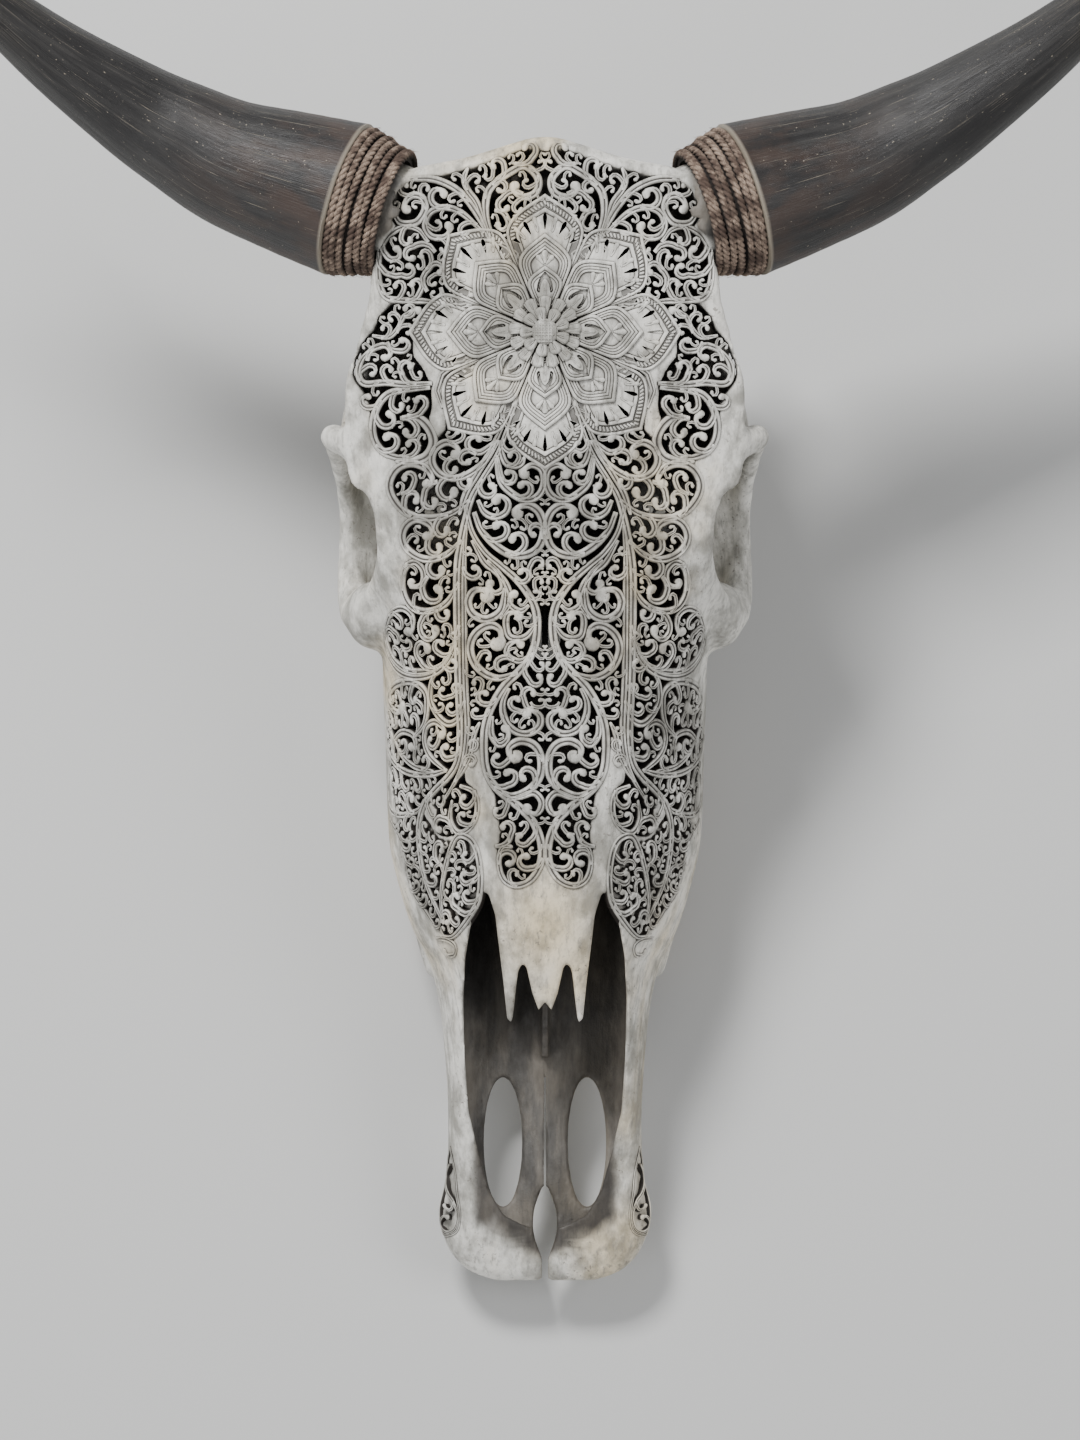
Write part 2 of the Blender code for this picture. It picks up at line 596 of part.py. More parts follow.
def tooth_block(name: str, near: float, far: float, side: int, grow: float,
                group: bpy.types.Collection) -> bpy.types.Object:
    """Makes a block on the table along a share of the tooth row, as wide as the row is there.

    A tooth narrows toward its grinding face; the trench that the teeth stand in grows all round.
    """
    (x0, y0), (x1, y1) = TOOTH_ROW
    row = math.dist(*TOOTH_ROW)
    front, back = TOOTH_ROW_WIDTHS
    length = (far - near) * row + 2 * grow
    mesh = bmesh.new()
    bmesh.ops.create_cube(mesh, size=1.0)
    for vert in mesh.verts:
        along = vert.co.y * length
        share = (near + far) / 2 + vert.co.y * (far - near)
        across = vert.co.x * (front + (back - front) * share + 2 * grow)
        height = (vert.co.z + 0.5) * (TOOTH_HEIGHT + grow)
        if vert.co.z < 0 and grow == 0:
            across *= GRINDING_FACE[0]
            along *= GRINDING_FACE[1]
        vert.co = (across, along, height)
    middle = (near + far) / 2
    turn = Matrix.Rotation(math.atan2(x0 - x1, y1 - y0), 4, "Z")
    level = Matrix.Rotation(FACE_TILT, 4, "X")
    standing = level @ Vector((x0 + (x1 - x0) * middle, y0 + (y1 - y0) * middle, TOOTH_ROW_DEPTH))
    standing.z = TABLE_HEIGHT
    move = Matrix.Translation(level.inverted() @ standing) @ level.inverted() @ turn
    bmesh.ops.transform(mesh, matrix=Matrix.Diagonal((side * MM, MM, MM, 1.0)) @ move, verts=mesh.verts)
    bmesh.ops.recalc_face_normals(mesh, faces=mesh.faces)
    return to_object(name, mesh, group)


def skull(parts: bpy.types.Collection, cutters: bpy.types.Collection,
          finish: bpy.types.Material) -> bpy.types.Object:
    """Builds the bone: the skin over its forms, its hollows, and the carving cut through it."""
    bone = bone_forms(parts)
    skin = bone.modifiers.new("skin", "REMESH")
    skin.mode = "VOXEL"
    skin.voxel_size = VOXEL * MM
    even = bone.modifiers.new("even", "SMOOTH")
    even.iterations = SMOOTH_PASSES
    fewer = bone.modifiers.new("fewer", "DECIMATE")
    fewer.ratio = 1.0
    bpy.context.view_layer.update()
    seen = bone.evaluated_get(bpy.context.evaluated_depsgraph_get())
    seen.data.calc_loop_triangles()
    fewer.ratio = BLANK_TRIANGLES / len(seen.data.loop_triangles)
    mirror = bone.modifiers.new("mirror", "MIRROR")
    mirror.use_bisect_axis[0] = True
    mirror.merge_threshold = 0.00005

    use_boolean(bone, loft("nose_hollow", NOSE_SECTIONS, cutters))
    use_boolean(bone, loft("forehead_hollow", FOREHEAD_SECTIONS, cutters))
    for side in (-1, 1):
        use_boolean(bone, turned("binding_room", room_profile(), 20, cutters, side, bored=False))
        use_boolean(bone, limb("horn_core", CORE_SPINE, cutters, side, steps=2, sides=2), "UNION")
    use_boolean(bone, ellipsoid("braincase", *BRAINCASE, cutters, segments=12))
    use_boolean(bone, limb("brain_passage", BRAIN_PASSAGE, cutters, sides=2, steps=3))
    use_boolean(bone, ellipsoid("rear_nostril", *REAR_NOSTRIL, cutters, segments=12))
    use_boolean(bone, septum(cutters), "UNION")
    use_boolean(bone, nose_opening(cutters))
    use_boolean(bone, palate_slots(cutters))
    use_boolean(bone, muzzle_cleft(cutters))
    use_boolean(bone, table_cutter(cutters))
    for side in (-1, 1):
        use_boolean(bone, tooth_block("tooth_trench", 0.0, 1.0, side, GAP, cutters))

    root, tip, half_width, lift, depth = LOTUS_OUTER
    petals = [around_lotus(petal(root, tip, half_width), turn) for turn in petal_turns()]
    use_boolean(bone, laid_prisms("lotus_petals", petals, lift, depth, cutters), "UNION", "MANIFOLD")
    crest, dip, lift, depth = ROSETTE
    middle = around_lotus(rosette(crest, dip), 0.0)
    use_boolean(bone, laid_prisms("rosette", [middle], lift, depth, cutters), "UNION", "MANIFOLD")
    holes = laid_prisms("scroll_holes", lotus_slots() + scroll_outlines(), HOLE_OUT, HOLE_DEPTH, cutters)
    use_boolean(bone, holes, solver="MANIFOLD")
    bone.data.materials.append(finish)
    return bone


def horn(name: str, side: int, parts: bpy.types.Collection, cutters: bpy.types.Collection,
         finish: bpy.types.Material) -> bpy.types.Object:
    """Builds a horn sheath that sits over the bony core."""
    sheath = limb(name, HORN_SPINE, parts, side, steps=2, sides=HORN_SIDES)
    wider = tuple((x, y, z, radius + GAP) for x, y, z, radius in CORE_SPINE)
    use_boolean(sheath, limb("horn_bore", wider, cutters, side, steps=2, sides=2))
    sheath.data.materials.append(finish)
    return sheath


def binding(name: str, side: int, parts: bpy.types.Collection,
            finish: bpy.types.Material) -> bpy.types.Object:
    """Builds the ring of cord between the corner of the skull and the horn."""
    ring = turned(name, binding_profile(), 14, parts, side, bored=True)
    ring.data.materials.append(finish)
    return ring


def tooth(name: str, near: float, far: float, side: int, parts: bpy.types.Collection,
          finish: bpy.types.Material) -> bpy.types.Object:
    """Builds one cheek tooth with its root."""
    crown = tooth_block(name, near, far, side, 0.0, parts)
    edge = crown.modifiers.new("edge", "BEVEL")
    edge.width = TOOTH_EDGE * MM
    edge.segments = 1
    crown.data.materials.append(finish)
    return crown


def main() -> None:
    """Builds the whole object and lays it on the table."""
    clear_scene()
    parts = new_collection("carved_skull")
    cutters = new_collection("cutters")
    bone = material("bone", (0.62, 0.58, 0.50), 0.75)
    horn_finish = material("horn", (0.045, 0.035, 0.032), 0.45)
    cord = material("cord", (0.16, 0.10, 0.07), 0.9)
    enamel = material("enamel", (0.55, 0.48, 0.36), 0.5)

    skull(parts, cutters, bone)
    for side, word in ((-1, "left"), (1, "right")):
        horn(f"horn_{word}", side, parts, cutters, horn_finish)
        binding(f"binding_{word}", side, parts, cord)
        for number, (near, far) in enumerate(tooth_places(), start=1):
            tooth(f"tooth_{word}_{number}", near, far, side, parts, enamel)

    rest = bpy.data.objects.new("face_frame", None)
    parts.objects.link(rest)
    for item in list(parts.objects) + list(cutters.objects):
        if item is not rest:
            item.parent = rest
    rest.rotation_euler.x = FACE_TILT
    rest.location = (0.0, -ORIGIN_ALONG * MM, -TABLE_HEIGHT * MM)
    hide_cutters(cutters)
    bpy.context.view_layer.update()


main()
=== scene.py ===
"""Looks of the carved bull skull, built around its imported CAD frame.

Everything is shaped in a face frame, in millimetres: X across, Y along the face from the tip of
the muzzle to the poll, Z out of the face. The carving is drawn flat, as a distance across the face,
a distance along it and a lift off the bone, and is then wrapped onto the bone. The finished meshes
are put in the row frame, in metres. "Left" is at -X.
"""
import json
import logging
import math
from dataclasses import dataclass
from enum import Enum

import bmesh
import bpy
import numpy as np
from bmesh.types import BMesh, BMVert
from bpy.types import Material, Node, NodeSocket, Object
from mathutils import Matrix, Vector
from mathutils.bvhtree import BVHTree

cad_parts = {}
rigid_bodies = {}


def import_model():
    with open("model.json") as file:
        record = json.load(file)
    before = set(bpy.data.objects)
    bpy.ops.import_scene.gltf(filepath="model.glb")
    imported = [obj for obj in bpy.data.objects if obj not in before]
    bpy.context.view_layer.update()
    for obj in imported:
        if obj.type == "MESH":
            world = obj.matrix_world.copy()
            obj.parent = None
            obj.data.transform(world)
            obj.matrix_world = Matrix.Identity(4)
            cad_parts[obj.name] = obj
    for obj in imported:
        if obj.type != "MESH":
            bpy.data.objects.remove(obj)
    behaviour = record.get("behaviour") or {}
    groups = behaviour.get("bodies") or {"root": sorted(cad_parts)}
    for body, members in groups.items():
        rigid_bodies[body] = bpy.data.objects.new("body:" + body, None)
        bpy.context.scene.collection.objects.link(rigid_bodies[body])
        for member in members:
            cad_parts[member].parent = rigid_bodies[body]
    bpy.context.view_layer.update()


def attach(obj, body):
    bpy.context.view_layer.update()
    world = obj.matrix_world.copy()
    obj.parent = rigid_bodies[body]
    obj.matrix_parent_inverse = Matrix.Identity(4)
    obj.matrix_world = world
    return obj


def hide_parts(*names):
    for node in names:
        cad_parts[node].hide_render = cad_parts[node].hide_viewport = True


log = logging.getLogger("carved_skull")

Point = tuple[float, ...]
MM = 0.001
UP = np.array([0.0, 0.0, 1.0])
JOIN = 1e-5
TINY = 1e-9


class Side(Enum):
    """A side of the head, with the sign of its X."""

    LEFT = -1
    RIGHT = 1

    @property
    def word(self) -> str:
        """Gives the side's word in the names of pieces."""
        return self.name.lower()


class Slot(Enum):
    """A material slot of the record."""

    BONE = "bone"
    HORN = "horn"
    CORD = "cord"
    ENAMEL = "enamel"


# Curves and meshes that several pieces share

def eased(keys: np.ndarray, values: np.ndarray, at: np.ndarray) -> np.ndarray:
    """Reads a smooth curve through the keys that never overshoots them.

    Args:
        keys: rising positions of the known values.
        values: the known values.
        at: the positions to read.

    Returns:
        The value at each position.
    """
    steps = np.diff(keys)
    slopes = np.diff(values) / steps
    tangents = np.zeros(len(keys))
    tangents[0], tangents[-1] = slopes[0], slopes[-1]
    same = slopes[:-1] * slopes[1:] > 0
    means = 2 * slopes[:-1] * slopes[1:] / np.where(same, slopes[:-1] + slopes[1:], 1.0)
    tangents[1:-1] = np.where(same, means, 0.0)
    index = np.clip(np.searchsorted(keys, at) - 1, 0, len(steps) - 1)
    t = (at - keys[index]) / steps[index]
    return ((2 * t**3 - 3 * t**2 + 1) * values[index] + (t**3 - 2 * t**2 + t) * steps[index] * tangents[index]
            + (3 * t**2 - 2 * t**3) * values[index + 1] + (t**3 - t**2) * steps[index] * tangents[index + 1])


def spline(points: np.ndarray, steps: int, closed: bool = False) -> np.ndarray:
    """Runs a smooth curve through points.

    Args:
        points: the points, one a row.
        steps: how many steps to take between two of them.
        closed: whether the curve runs back to its first point.

    Returns:
        The points of the curve; a closed one doesn't repeat its first point.
    """
    given = np.asarray(points, dtype=float)
    if closed:
        knots = np.vstack([given[-1], given, given[:2]])
    else:
        knots = np.vstack([2 * given[0] - given[1], given, 2 * given[-1] - given[-2]])
    t = (np.arange(steps) / steps)[:, None]
    runs = [0.5 * (2 * b + (c - a) * t + (2 * a - 5 * b + 4 * c - d) * t**2 + (3 * b - a - 3 * c + d) * t**3)
            for a, b, c, d in zip(knots, knots[1:], knots[2:], knots[3:])]
    curve = np.vstack(runs)
    return curve if closed else np.vstack([curve, knots[-2]])


def reach_along(course: np.ndarray) -> np.ndarray:
    """Gives how far each point of a course lies from its start, along the course."""
    return np.concatenate([[0.0], np.cumsum(np.linalg.norm(np.diff(course, axis=0), axis=1))])


def unit(vectors: np.ndarray) -> np.ndarray:
    """Gives vectors, along the last axis, a length of 1."""
    return vectors / np.maximum(np.linalg.norm(vectors, axis=-1, keepdims=True), TINY)


def evenly(course: np.ndarray, spacing: float, fewest: int = 4) -> np.ndarray:
    """Walks a course again in even steps.

    Args:
        course: points of the course.
        spacing: about how far apart the new points lie.
        fewest: the fewest steps to take.

    Returns:
        The new points.
    """
    reach = reach_along(course)
    count = max(int(round(reach[-1] / spacing)), fewest)
    at = np.linspace(0.0, reach[-1], count + 1)
    return np.column_stack([np.interp(at, reach, column) for column in course.T])


def smoothstep(low: float, high: float, value: np.ndarray) -> np.ndarray:
    """Gives 0 below the low edge, 1 above the high one and an even rise between them."""
    share = np.clip((np.asarray(value, dtype=float) - low) / (high - low), 0.0, 1.0)
    return share * share * (3 - 2 * share)


def rolled(rings: np.ndarray, **fields: np.ndarray) -> BMesh:
    """Rolls a grid into a closed tube through rings of points, and caps its ends.

    Args:
        rings: the tube's points, as ring, place in the ring, coordinate.
        fields: a number or a row of three for each point, such as the soiling and painted shade that lie
            there, from 0 to 1.

    Returns:
        The tube, with its faces outwards.
    """
    steps, sides = rings.shape[:2]
    tube = bmesh.new()
    kinds = tube.verts.layers
    layers = {"dirt": kinds.float.new("dirt")}
    for name, values in fields.items():
        if name not in layers:
            layers[name] = (kinds.float_vector if values.ndim > 2 else kinds.float).new(name)
    made = bmesh.ops.create_grid(tube, x_segments=sides, y_segments=steps - 1, size=1.0)["verts"]
    for number, vert in enumerate(made):
        ring, place = divmod(number, sides + 1)
        vert.co = rings[ring, place % sides]
        for name, values in fields.items():
            vert[layers[name]] = values[ring, place % sides]
    bmesh.ops.remove_doubles(tube, verts=tube.verts, dist=JOIN)
    bmesh.ops.holes_fill(tube, edges=[edge for edge in tube.edges if edge.is_boundary], sides=0)
    bmesh.ops.recalc_face_normals(tube, faces=tube.faces)
    return tube


def ring_round(place: np.ndarray, way: np.ndarray, radii: np.ndarray) -> list[list[float]]:
    """Lays a ring of points round a place, square to a direction, with one point for each radius."""
    turn = Vector(way).to_track_quat("Z", "Y").to_matrix()
    angles = circle(len(radii))
    return [[*(Vector(place) + turn @ Vector((math.cos(angle), math.sin(angle), 0)) * radius)]
            for angle, radius in zip(angles, radii)]


def circle(steps: int) -> np.ndarray:
    """Gives the angles of even steps round a circle."""
    return np.arange(steps) * 2 * math.pi / steps


def spun(profile: tuple, steps: int, closed: bool = False) -> BMesh:
    """Spins a profile about the Z axis.

    Args:
        profile: rows of radius and height.
        steps: how many steps the turn takes.
        closed: whether the profile runs back to its first point.

    Returns:
        The spun form.
    """
    mesh = bmesh.new()
    chain = [mesh.verts.new((radius, 0, height)) for radius, height in profile]
    edges = [mesh.edges.new(pair) for pair in zip(chain, chain[1:] + (chain[:1] if closed else []))]
    bmesh.ops.spin(mesh, geom=chain + edges, cent=(0, 0, 0), axis=(0, 0, 1), angle=2 * math.pi, steps=steps,
                   use_merge=True)
    bmesh.ops.remove_doubles(mesh, verts=mesh.verts, dist=0.02)
    bmesh.ops.recalc_face_normals(mesh, faces=mesh.faces)
    return mesh


def moved(mesh: BMesh, place: Matrix) -> BMesh:
    """Moves a mesh, and keeps its faces outwards where the move mirrors it."""
    bmesh.ops.transform(mesh, matrix=place, verts=mesh.verts)
    if place.determinant() < 0:
        bmesh.ops.reverse_faces(mesh, faces=mesh.faces)
    return mesh


def gathered(parts: list[BMesh]) -> BMesh:
    """Puts several meshes into one, and frees them.

    Args:
        parts: the meshes.

    Returns:
        The one mesh.
    """
    whole = bmesh.new()
    whole.verts.layers.float.new("dirt")
    for part in parts:
        carrier = bpy.data.meshes.new("carrier")
        part.to_mesh(carrier)
        part.free()
        whole.from_mesh(carrier)
        bpy.data.meshes.remove(carrier)
    return whole


def to_object(name: str, mesh: BMesh, smooth: float | None = None) -> Object:
    """Makes an object of a mesh, and frees the mesh.

    Args:
        name: the object's name.
        mesh: its mesh.
        smooth: the angle past which an edge stays sharp, in degrees; without one the faces stay flat.

    Returns:
        The object, in the scene.
    """
    data = bpy.data.meshes.new(name)
    mesh.to_mesh(data)
    mesh.free()
    if smooth is not None:
        data.shade_smooth()
        data.set_sharp_from_angle(angle=math.radians(smooth))
    item = bpy.data.objects.new(name, data)
    bpy.context.scene.collection.objects.link(item)
    return item


def baked(item: Object) -> Object:
    """Applies an object's modifiers.

    Args:
        item: the object.

    Returns:
        A new object of the same name with the finished mesh.
    """
    bpy.context.view_layer.update()
    data = bpy.data.meshes.new_from_object(item.evaluated_get(bpy.context.evaluated_depsgraph_get()))
    name = item.name
    bpy.data.objects.remove(item)
    data.name = name
    made = bpy.data.objects.new(name, data)
    bpy.context.scene.collection.objects.link(made)
    return made


def cut(item: Object, cutters: list[Object], operation: str = "DIFFERENCE") -> Object:
    """Cuts an object with others, or joins them to it, and removes them.

    Args:
        item: the object that is cut.
        cutters: the others, each of them closed.
        operation: the Boolean's operation.

    Returns:
        The finished object.
    """
    for cutter in cutters:
        step = item.modifiers.new(cutter.name, "BOOLEAN")
        step.operation = operation
        step.object = cutter
        step.solver = "MANIFOLD"
    made = baked(item)
    for cutter in cutters:
        bpy.data.objects.remove(cutter)
    return made


def coordinates(item: Object) -> np.ndarray:
    """Reads the places of an object's vertices."""
    flat = np.empty(len(item.data.vertices) * 3)
    item.data.vertices.foreach_get("co", flat)
    return flat.reshape(-1, 3)


def move_to(item: Object, places: np.ndarray) -> None:
    """Sets the places of an object's vertices."""
    item.data.vertices.foreach_set("co", places.astype(np.float32).ravel())
    item.data.update()


def set_field(item: Object, name: str, values: np.ndarray) -> None:
    """Stores a number for each vertex, which a finish can read.

    Args:
        item: the object.
        name: the attribute's name.
        values: a number, or a row of three, for each vertex.
    """
    kind, key = ("FLOAT", "value") if values.ndim == 1 else ("FLOAT_VECTOR", "vector")
    layer = item.data.attributes.get(name) or item.data.attributes.new(name, kind, "POINT")
    layer.data.foreach_set(key, values.astype(np.float32).ravel())


@dataclass(frozen=True)
class FaceFrame:
    """The face's attitude on the table, the same as the CAD part's."""

    tilt: float = math.atan(0.29)
    table_height: float = -70.0
    origin_along: float = 332.7

    def matrix(self) -> Matrix:
        """Gives the turn and move from the face frame, in millimetres, to the row frame."""
        place = Matrix.Translation((0.0, -self.origin_along * MM, -self.table_height * MM))
        return place @ Matrix.Rotation(self.tilt, 4, "X") @ Matrix.Diagonal((MM, MM, MM, 1.0))

    def settle(self, item: Object) -> None:
        """Puts a finished mesh in the row frame."""
        item.data.transform(self.matrix())


FACE = FaceFrame()


@dataclass(frozen=True)
class Tracing:
    """Turns a pixel of the photograph into a place on the face, as it is seen from the front."""

    millimetres: float = 0.48
    midline: float = 545.0
    muzzle_tip: float = 1285.0

    def place(self, pixels: Point) -> np.ndarray:
        """Gives rows of x and y in the face frame for pixels, given as x, y, x, y and so on."""
        x, y = np.reshape(pixels, (-1, 2)).T
        return np.column_stack([x - self.midline, self.muzzle_tip - y]) * self.millimetres


TRACING = Tracing()


# Finishes

class Nodes:
    """Builds the node tree of one material."""

    def __init__(self, name: str) -> None:
        """Starts a Principled material.

        Args:
            name: the material's name.
        """
        self.material = bpy.data.materials.new(name)
        self.material.use_nodes = True
        self.tree = self.material.node_tree
        self.shader = self.tree.nodes["Principled BSDF"]

    def feed(self, socket: NodeSocket, source: object) -> None:
        """Links a socket to another one, or sets it to a constant."""
        if isinstance(source, NodeSocket):
            self.tree.links.new(source, socket)
        elif source is not None:
            socket.default_value = source

    def node(self, kind: str, sources: dict, **properties: object) -> Node:
        """Adds a node, sets its properties and feeds its sockets."""
        made = self.tree.nodes.new(kind)
        for name, value in properties.items():
            setattr(made, name, value)
        for name, source in sources.items():
            self.feed(made.inputs[name], source)
        return made

    def place(self) -> NodeSocket:
        """Gives the object coordinates, in metres."""
        return self.node("ShaderNodeTexCoord", {}).outputs["Object"]

    def field(self, name: str, vector: bool = False) -> NodeSocket:
        """Gives a stored attribute of the mesh."""
        made = self.node("ShaderNodeAttribute", {}, attribute_name=name)
        return made.outputs["Vector" if vector else "Fac"]

    def stretched(self, source: NodeSocket, scale: Point) -> NodeSocket:
        """Scales a vector unevenly."""
        return self.node("ShaderNodeMapping", {"Vector": source, "Scale": scale}).outputs["Vector"]

    def noise(self, source: NodeSocket, scale: float, detail: float = 4.0,
              rough: float = 0.55) -> NodeSocket:
        """Adds a noise pattern and gives its value."""
        sources = {"Vector": source, "Scale": scale, "Detail": detail, "Roughness": rough}
        return self.node("ShaderNodeTexNoise", sources).outputs["Fac"]

    def ramp(self, source: NodeSocket, low: float, high: float, start: float = 0.0,
             end: float = 1.0) -> NodeSocket:
        """Maps a range smoothly onto another, and holds it at its ends."""
        sources = {"Value": source, "From Min": low, "From Max": high, "To Min": start, "To Max": end}
        return self.node("ShaderNodeMapRange", sources, interpolation_type="SMOOTHSTEP").outputs["Result"]

    def math(self, operation: str, first: object, second: object) -> NodeSocket:
        """Works out a number from two others, each a socket or a constant."""
        return self.node("ShaderNodeMath", {0: first, 1: second}, operation=operation).outputs["Value"]

    def mix(self, share: NodeSocket, first: object, second: object,
            blend: str = "MIX") -> NodeSocket:
        """Mixes two colours, each a socket or a constant."""
        made = self.node("ShaderNodeMix", {"Factor": share}, data_type="RGBA", blend_type=blend)
        colours = [socket for socket in made.inputs if socket.type == "RGBA"]
        for socket, source in zip(colours, (first, second)):
            self.feed(socket, source if isinstance(source, NodeSocket) else (*source, 1.0))
        return [socket for socket in made.outputs if socket.type == "RGBA"][0]

    def bump(self, height: NodeSocket, distance: float, strength: float,
             under: NodeSocket | None = None) -> NodeSocket:
        """Adds a bump of a depth in metres, over another one if it is given."""
        sources = {"Height": height, "Distance": distance, "Strength": strength, "Normal": under}
        return self.node("ShaderNodeBump", sources).outputs["Normal"]

    def finish(self, colour: object, roughness: object, normal: NodeSocket | None = None) -> Material:
        """Joins everything to the shader and gives the material."""
        for name, source in (("Base Color", colour), ("Roughness", roughness), ("Normal", normal)):
            self.feed(self.shader.inputs[name], source)
        return self.material


@dataclass(frozen=True)
class BoneFinish:
    """Weathered bone: chalk white and ash grey in patches, silver streaks and straw stains, with painted
    shade, partly old soiling, in every hollow, crevice and groove, and a darker inside.
    """

    name: str = "aged_bone"
    chalk: Point = (0.82, 0.80, 0.74)
    ash: Point = (0.32, 0.31, 0.275)
    silver: Point = (0.21, 0.20, 0.18)
    straw: Point = (1.0, 0.86, 0.62)
    pit: Point = (0.17, 0.15, 0.125)
    # Near-black for painted shade, partly old soiling: crevices, the sides of carved strokes and deep
    # recesses take this colour.
    dirt: Point = (0.026, 0.021, 0.017)
    # The inside's own brown, kept darker than it is so that it also paints the shade inside the skull.
    inner_dark: Point = (0.024, 0.020, 0.017)
    inner_pale: Point = (0.15, 0.13, 0.105)
    crevice: float = 0.007
    groove: float = 0.0012

    @staticmethod
    def sheltered(n: Nodes, reach: float, dark: float, clear: float) -> NodeSocket:
        """Tells how far the surface is shut in by what lies within a reach."""
        shelter = n.node("ShaderNodeAmbientOcclusion", {"Distance": reach}, samples=6)
        return n.ramp(shelter.outputs["AO"], dark, clear, 1.0, 0.0)

    def clouds(self, n: Nodes, place: NodeSocket) -> NodeSocket:
        """Adds broad and fine patches, drawn out along the face."""
        broad = n.noise(n.stretched(place, (1.0, 0.45, 1.0)), 30.0, 6.0, 0.62)
        fine = n.noise(n.stretched(place, (1.0, 0.6, 1.0)), 150.0, 5.0, 0.6)
        return n.math("ADD", n.math("MULTIPLY", broad, 0.62), n.math("MULTIPLY", fine, 0.38))

    def material(self) -> Material:
        """Builds the node tree."""
        n = Nodes(self.name)
        place = n.place()
        clouds = self.clouds(n, place)
        base = n.mix(n.ramp(clouds, 0.39, 0.60), self.ash, self.chalk)
        warm = n.ramp(n.noise(n.stretched(place, (1.0, 0.6, 1.0)), 14.0, 4.0), 0.47, 0.68, 0.0, 0.85)
        base = n.mix(n.math("MAXIMUM", warm, n.field("warm")), base, self.straw, "MULTIPLY")
        streaks = n.noise(n.stretched(place, (1.0, 0.10, 1.0)), 420.0, 4.0, 0.65)
        base = n.mix(n.ramp(streaks, 0.48, 0.72, 0.0, 0.6), base, self.silver)
        pits = n.math("MULTIPLY", n.ramp(n.noise(place, 520.0, 2.0, 0.6), 0.40, 0.30, 0.0, 0.7),
                      n.ramp(n.noise(place, 36.0, 3.0), 0.42, 0.62))
        base = n.mix(pits, base, self.pit)
        # Painted shade, partly old soiling: ambient occlusion darkens crevices and the grooves between carved
        # rims, and the stored field darkens the feet, sides and grooves of carved strokes.
        crevice_shade_and_soiling = n.math("MAXIMUM", self.sheltered(n, self.crevice, 0.12, 0.74),
                      self.sheltered(n, self.groove, 0.42, 0.95))
        soiling_and_shade = n.math("MULTIPLY", crevice_shade_and_soiling, n.ramp(n.noise(place, 90.0), 0.25, 0.6, 0.70, 1.0))
        base = n.mix(n.math("MAXIMUM", soiling_and_shade, n.ramp(n.field("dirt"), 0.12, 0.70)), base, self.dirt)
        # Inside the bone: its own darker brown, deepened as painted shade.
        inside = n.mix(n.ramp(n.noise(n.stretched(place, (1.0, 0.25, 1.0)), 60.0, 5.0, 0.6), 0.40, 0.66),
                       self.inner_dark, self.inner_pale)
        base = n.mix(n.field("inner"), base, inside)
        # Painted shade: deep recesses and the back of the nose fade to near black.
        base = n.mix(n.field("deep"), base, self.dirt)
        pores = n.bump(n.noise(place, 900.0, 3.0, 0.65), 0.0003, 0.5)
        grain = n.bump(streaks, 0.0005, 0.5, pores)
        lumps = n.bump(clouds, 0.003, 0.5, grain)
        return n.finish(base, n.ramp(clouds, 0.4, 0.6, 0.75, 0.5), lumps)


@dataclass(frozen=True)
class HornFinish:
    """Smoky keratin: almost black, brown at the root, with pale scratches that run along the horn."""

    name: str = "smoky_horn"
    black: Point = (0.010, 0.009, 0.009)
    grey: Point = (0.034, 0.032, 0.030)
    brown: Point = (0.042, 0.025, 0.018)
    pale: Point = (0.46, 0.40, 0.31)

    def material(self) -> Material:
        """Builds the node tree."""
        n = Nodes(self.name)
        streak = n.field("streak", vector=True)
        along = n.field("along")
        smoke = n.ramp(n.noise(n.stretched(streak, (2.0, 2.0, 0.5)), 4.0, 6.0, 0.62), 0.40, 0.72)
        base = n.mix(smoke, self.black, self.grey)
        root = n.math("MULTIPLY", n.ramp(along, 0.0, 0.36, 0.85, 0.0),
                      n.ramp(n.noise(streak, 5.0), 0.38, 0.60))
        base = n.mix(root, base, self.brown)
        tip = n.math("MULTIPLY", n.ramp(along, 0.50, 0.85, 0.0, 1.0),
                     n.ramp(n.noise(n.stretched(streak, (11.0, 11.0, 0.5)), 6.0), 0.56, 0.70, 0.0, 0.7))
        base = n.mix(tip, base, self.pale)
        fibres = n.noise(n.stretched(streak, (26.0, 26.0, 0.35)), 6.0, 6.0, 0.65)
        scratch = n.math("MULTIPLY", n.ramp(fibres, 0.61, 0.69), n.ramp(n.noise(streak, 9.0), 0.42, 0.60))
        base = n.mix(n.math("MULTIPLY", scratch, 0.7), base, self.pale)
        nicks = n.noise(n.stretched(streak, (9.0, 9.0, 16.0)), 5.0, 3.0, 0.6)
        base = n.mix(n.ramp(nicks, 0.69, 0.73, 0.0, 0.85), base, self.pale)
        # The rim is pale with wear, partly a painted highlight along the edge.
        base = n.mix(n.field("rim"), base, self.pale)
        rough = n.ramp(fibres, 0.3, 0.7, 0.34, 0.6)
        rough = n.math("MAXIMUM", rough, n.math("MULTIPLY", n.field("rim"), 0.8))
        return n.finish(base, rough, n.bump(fibres, 0.0005, 0.6))


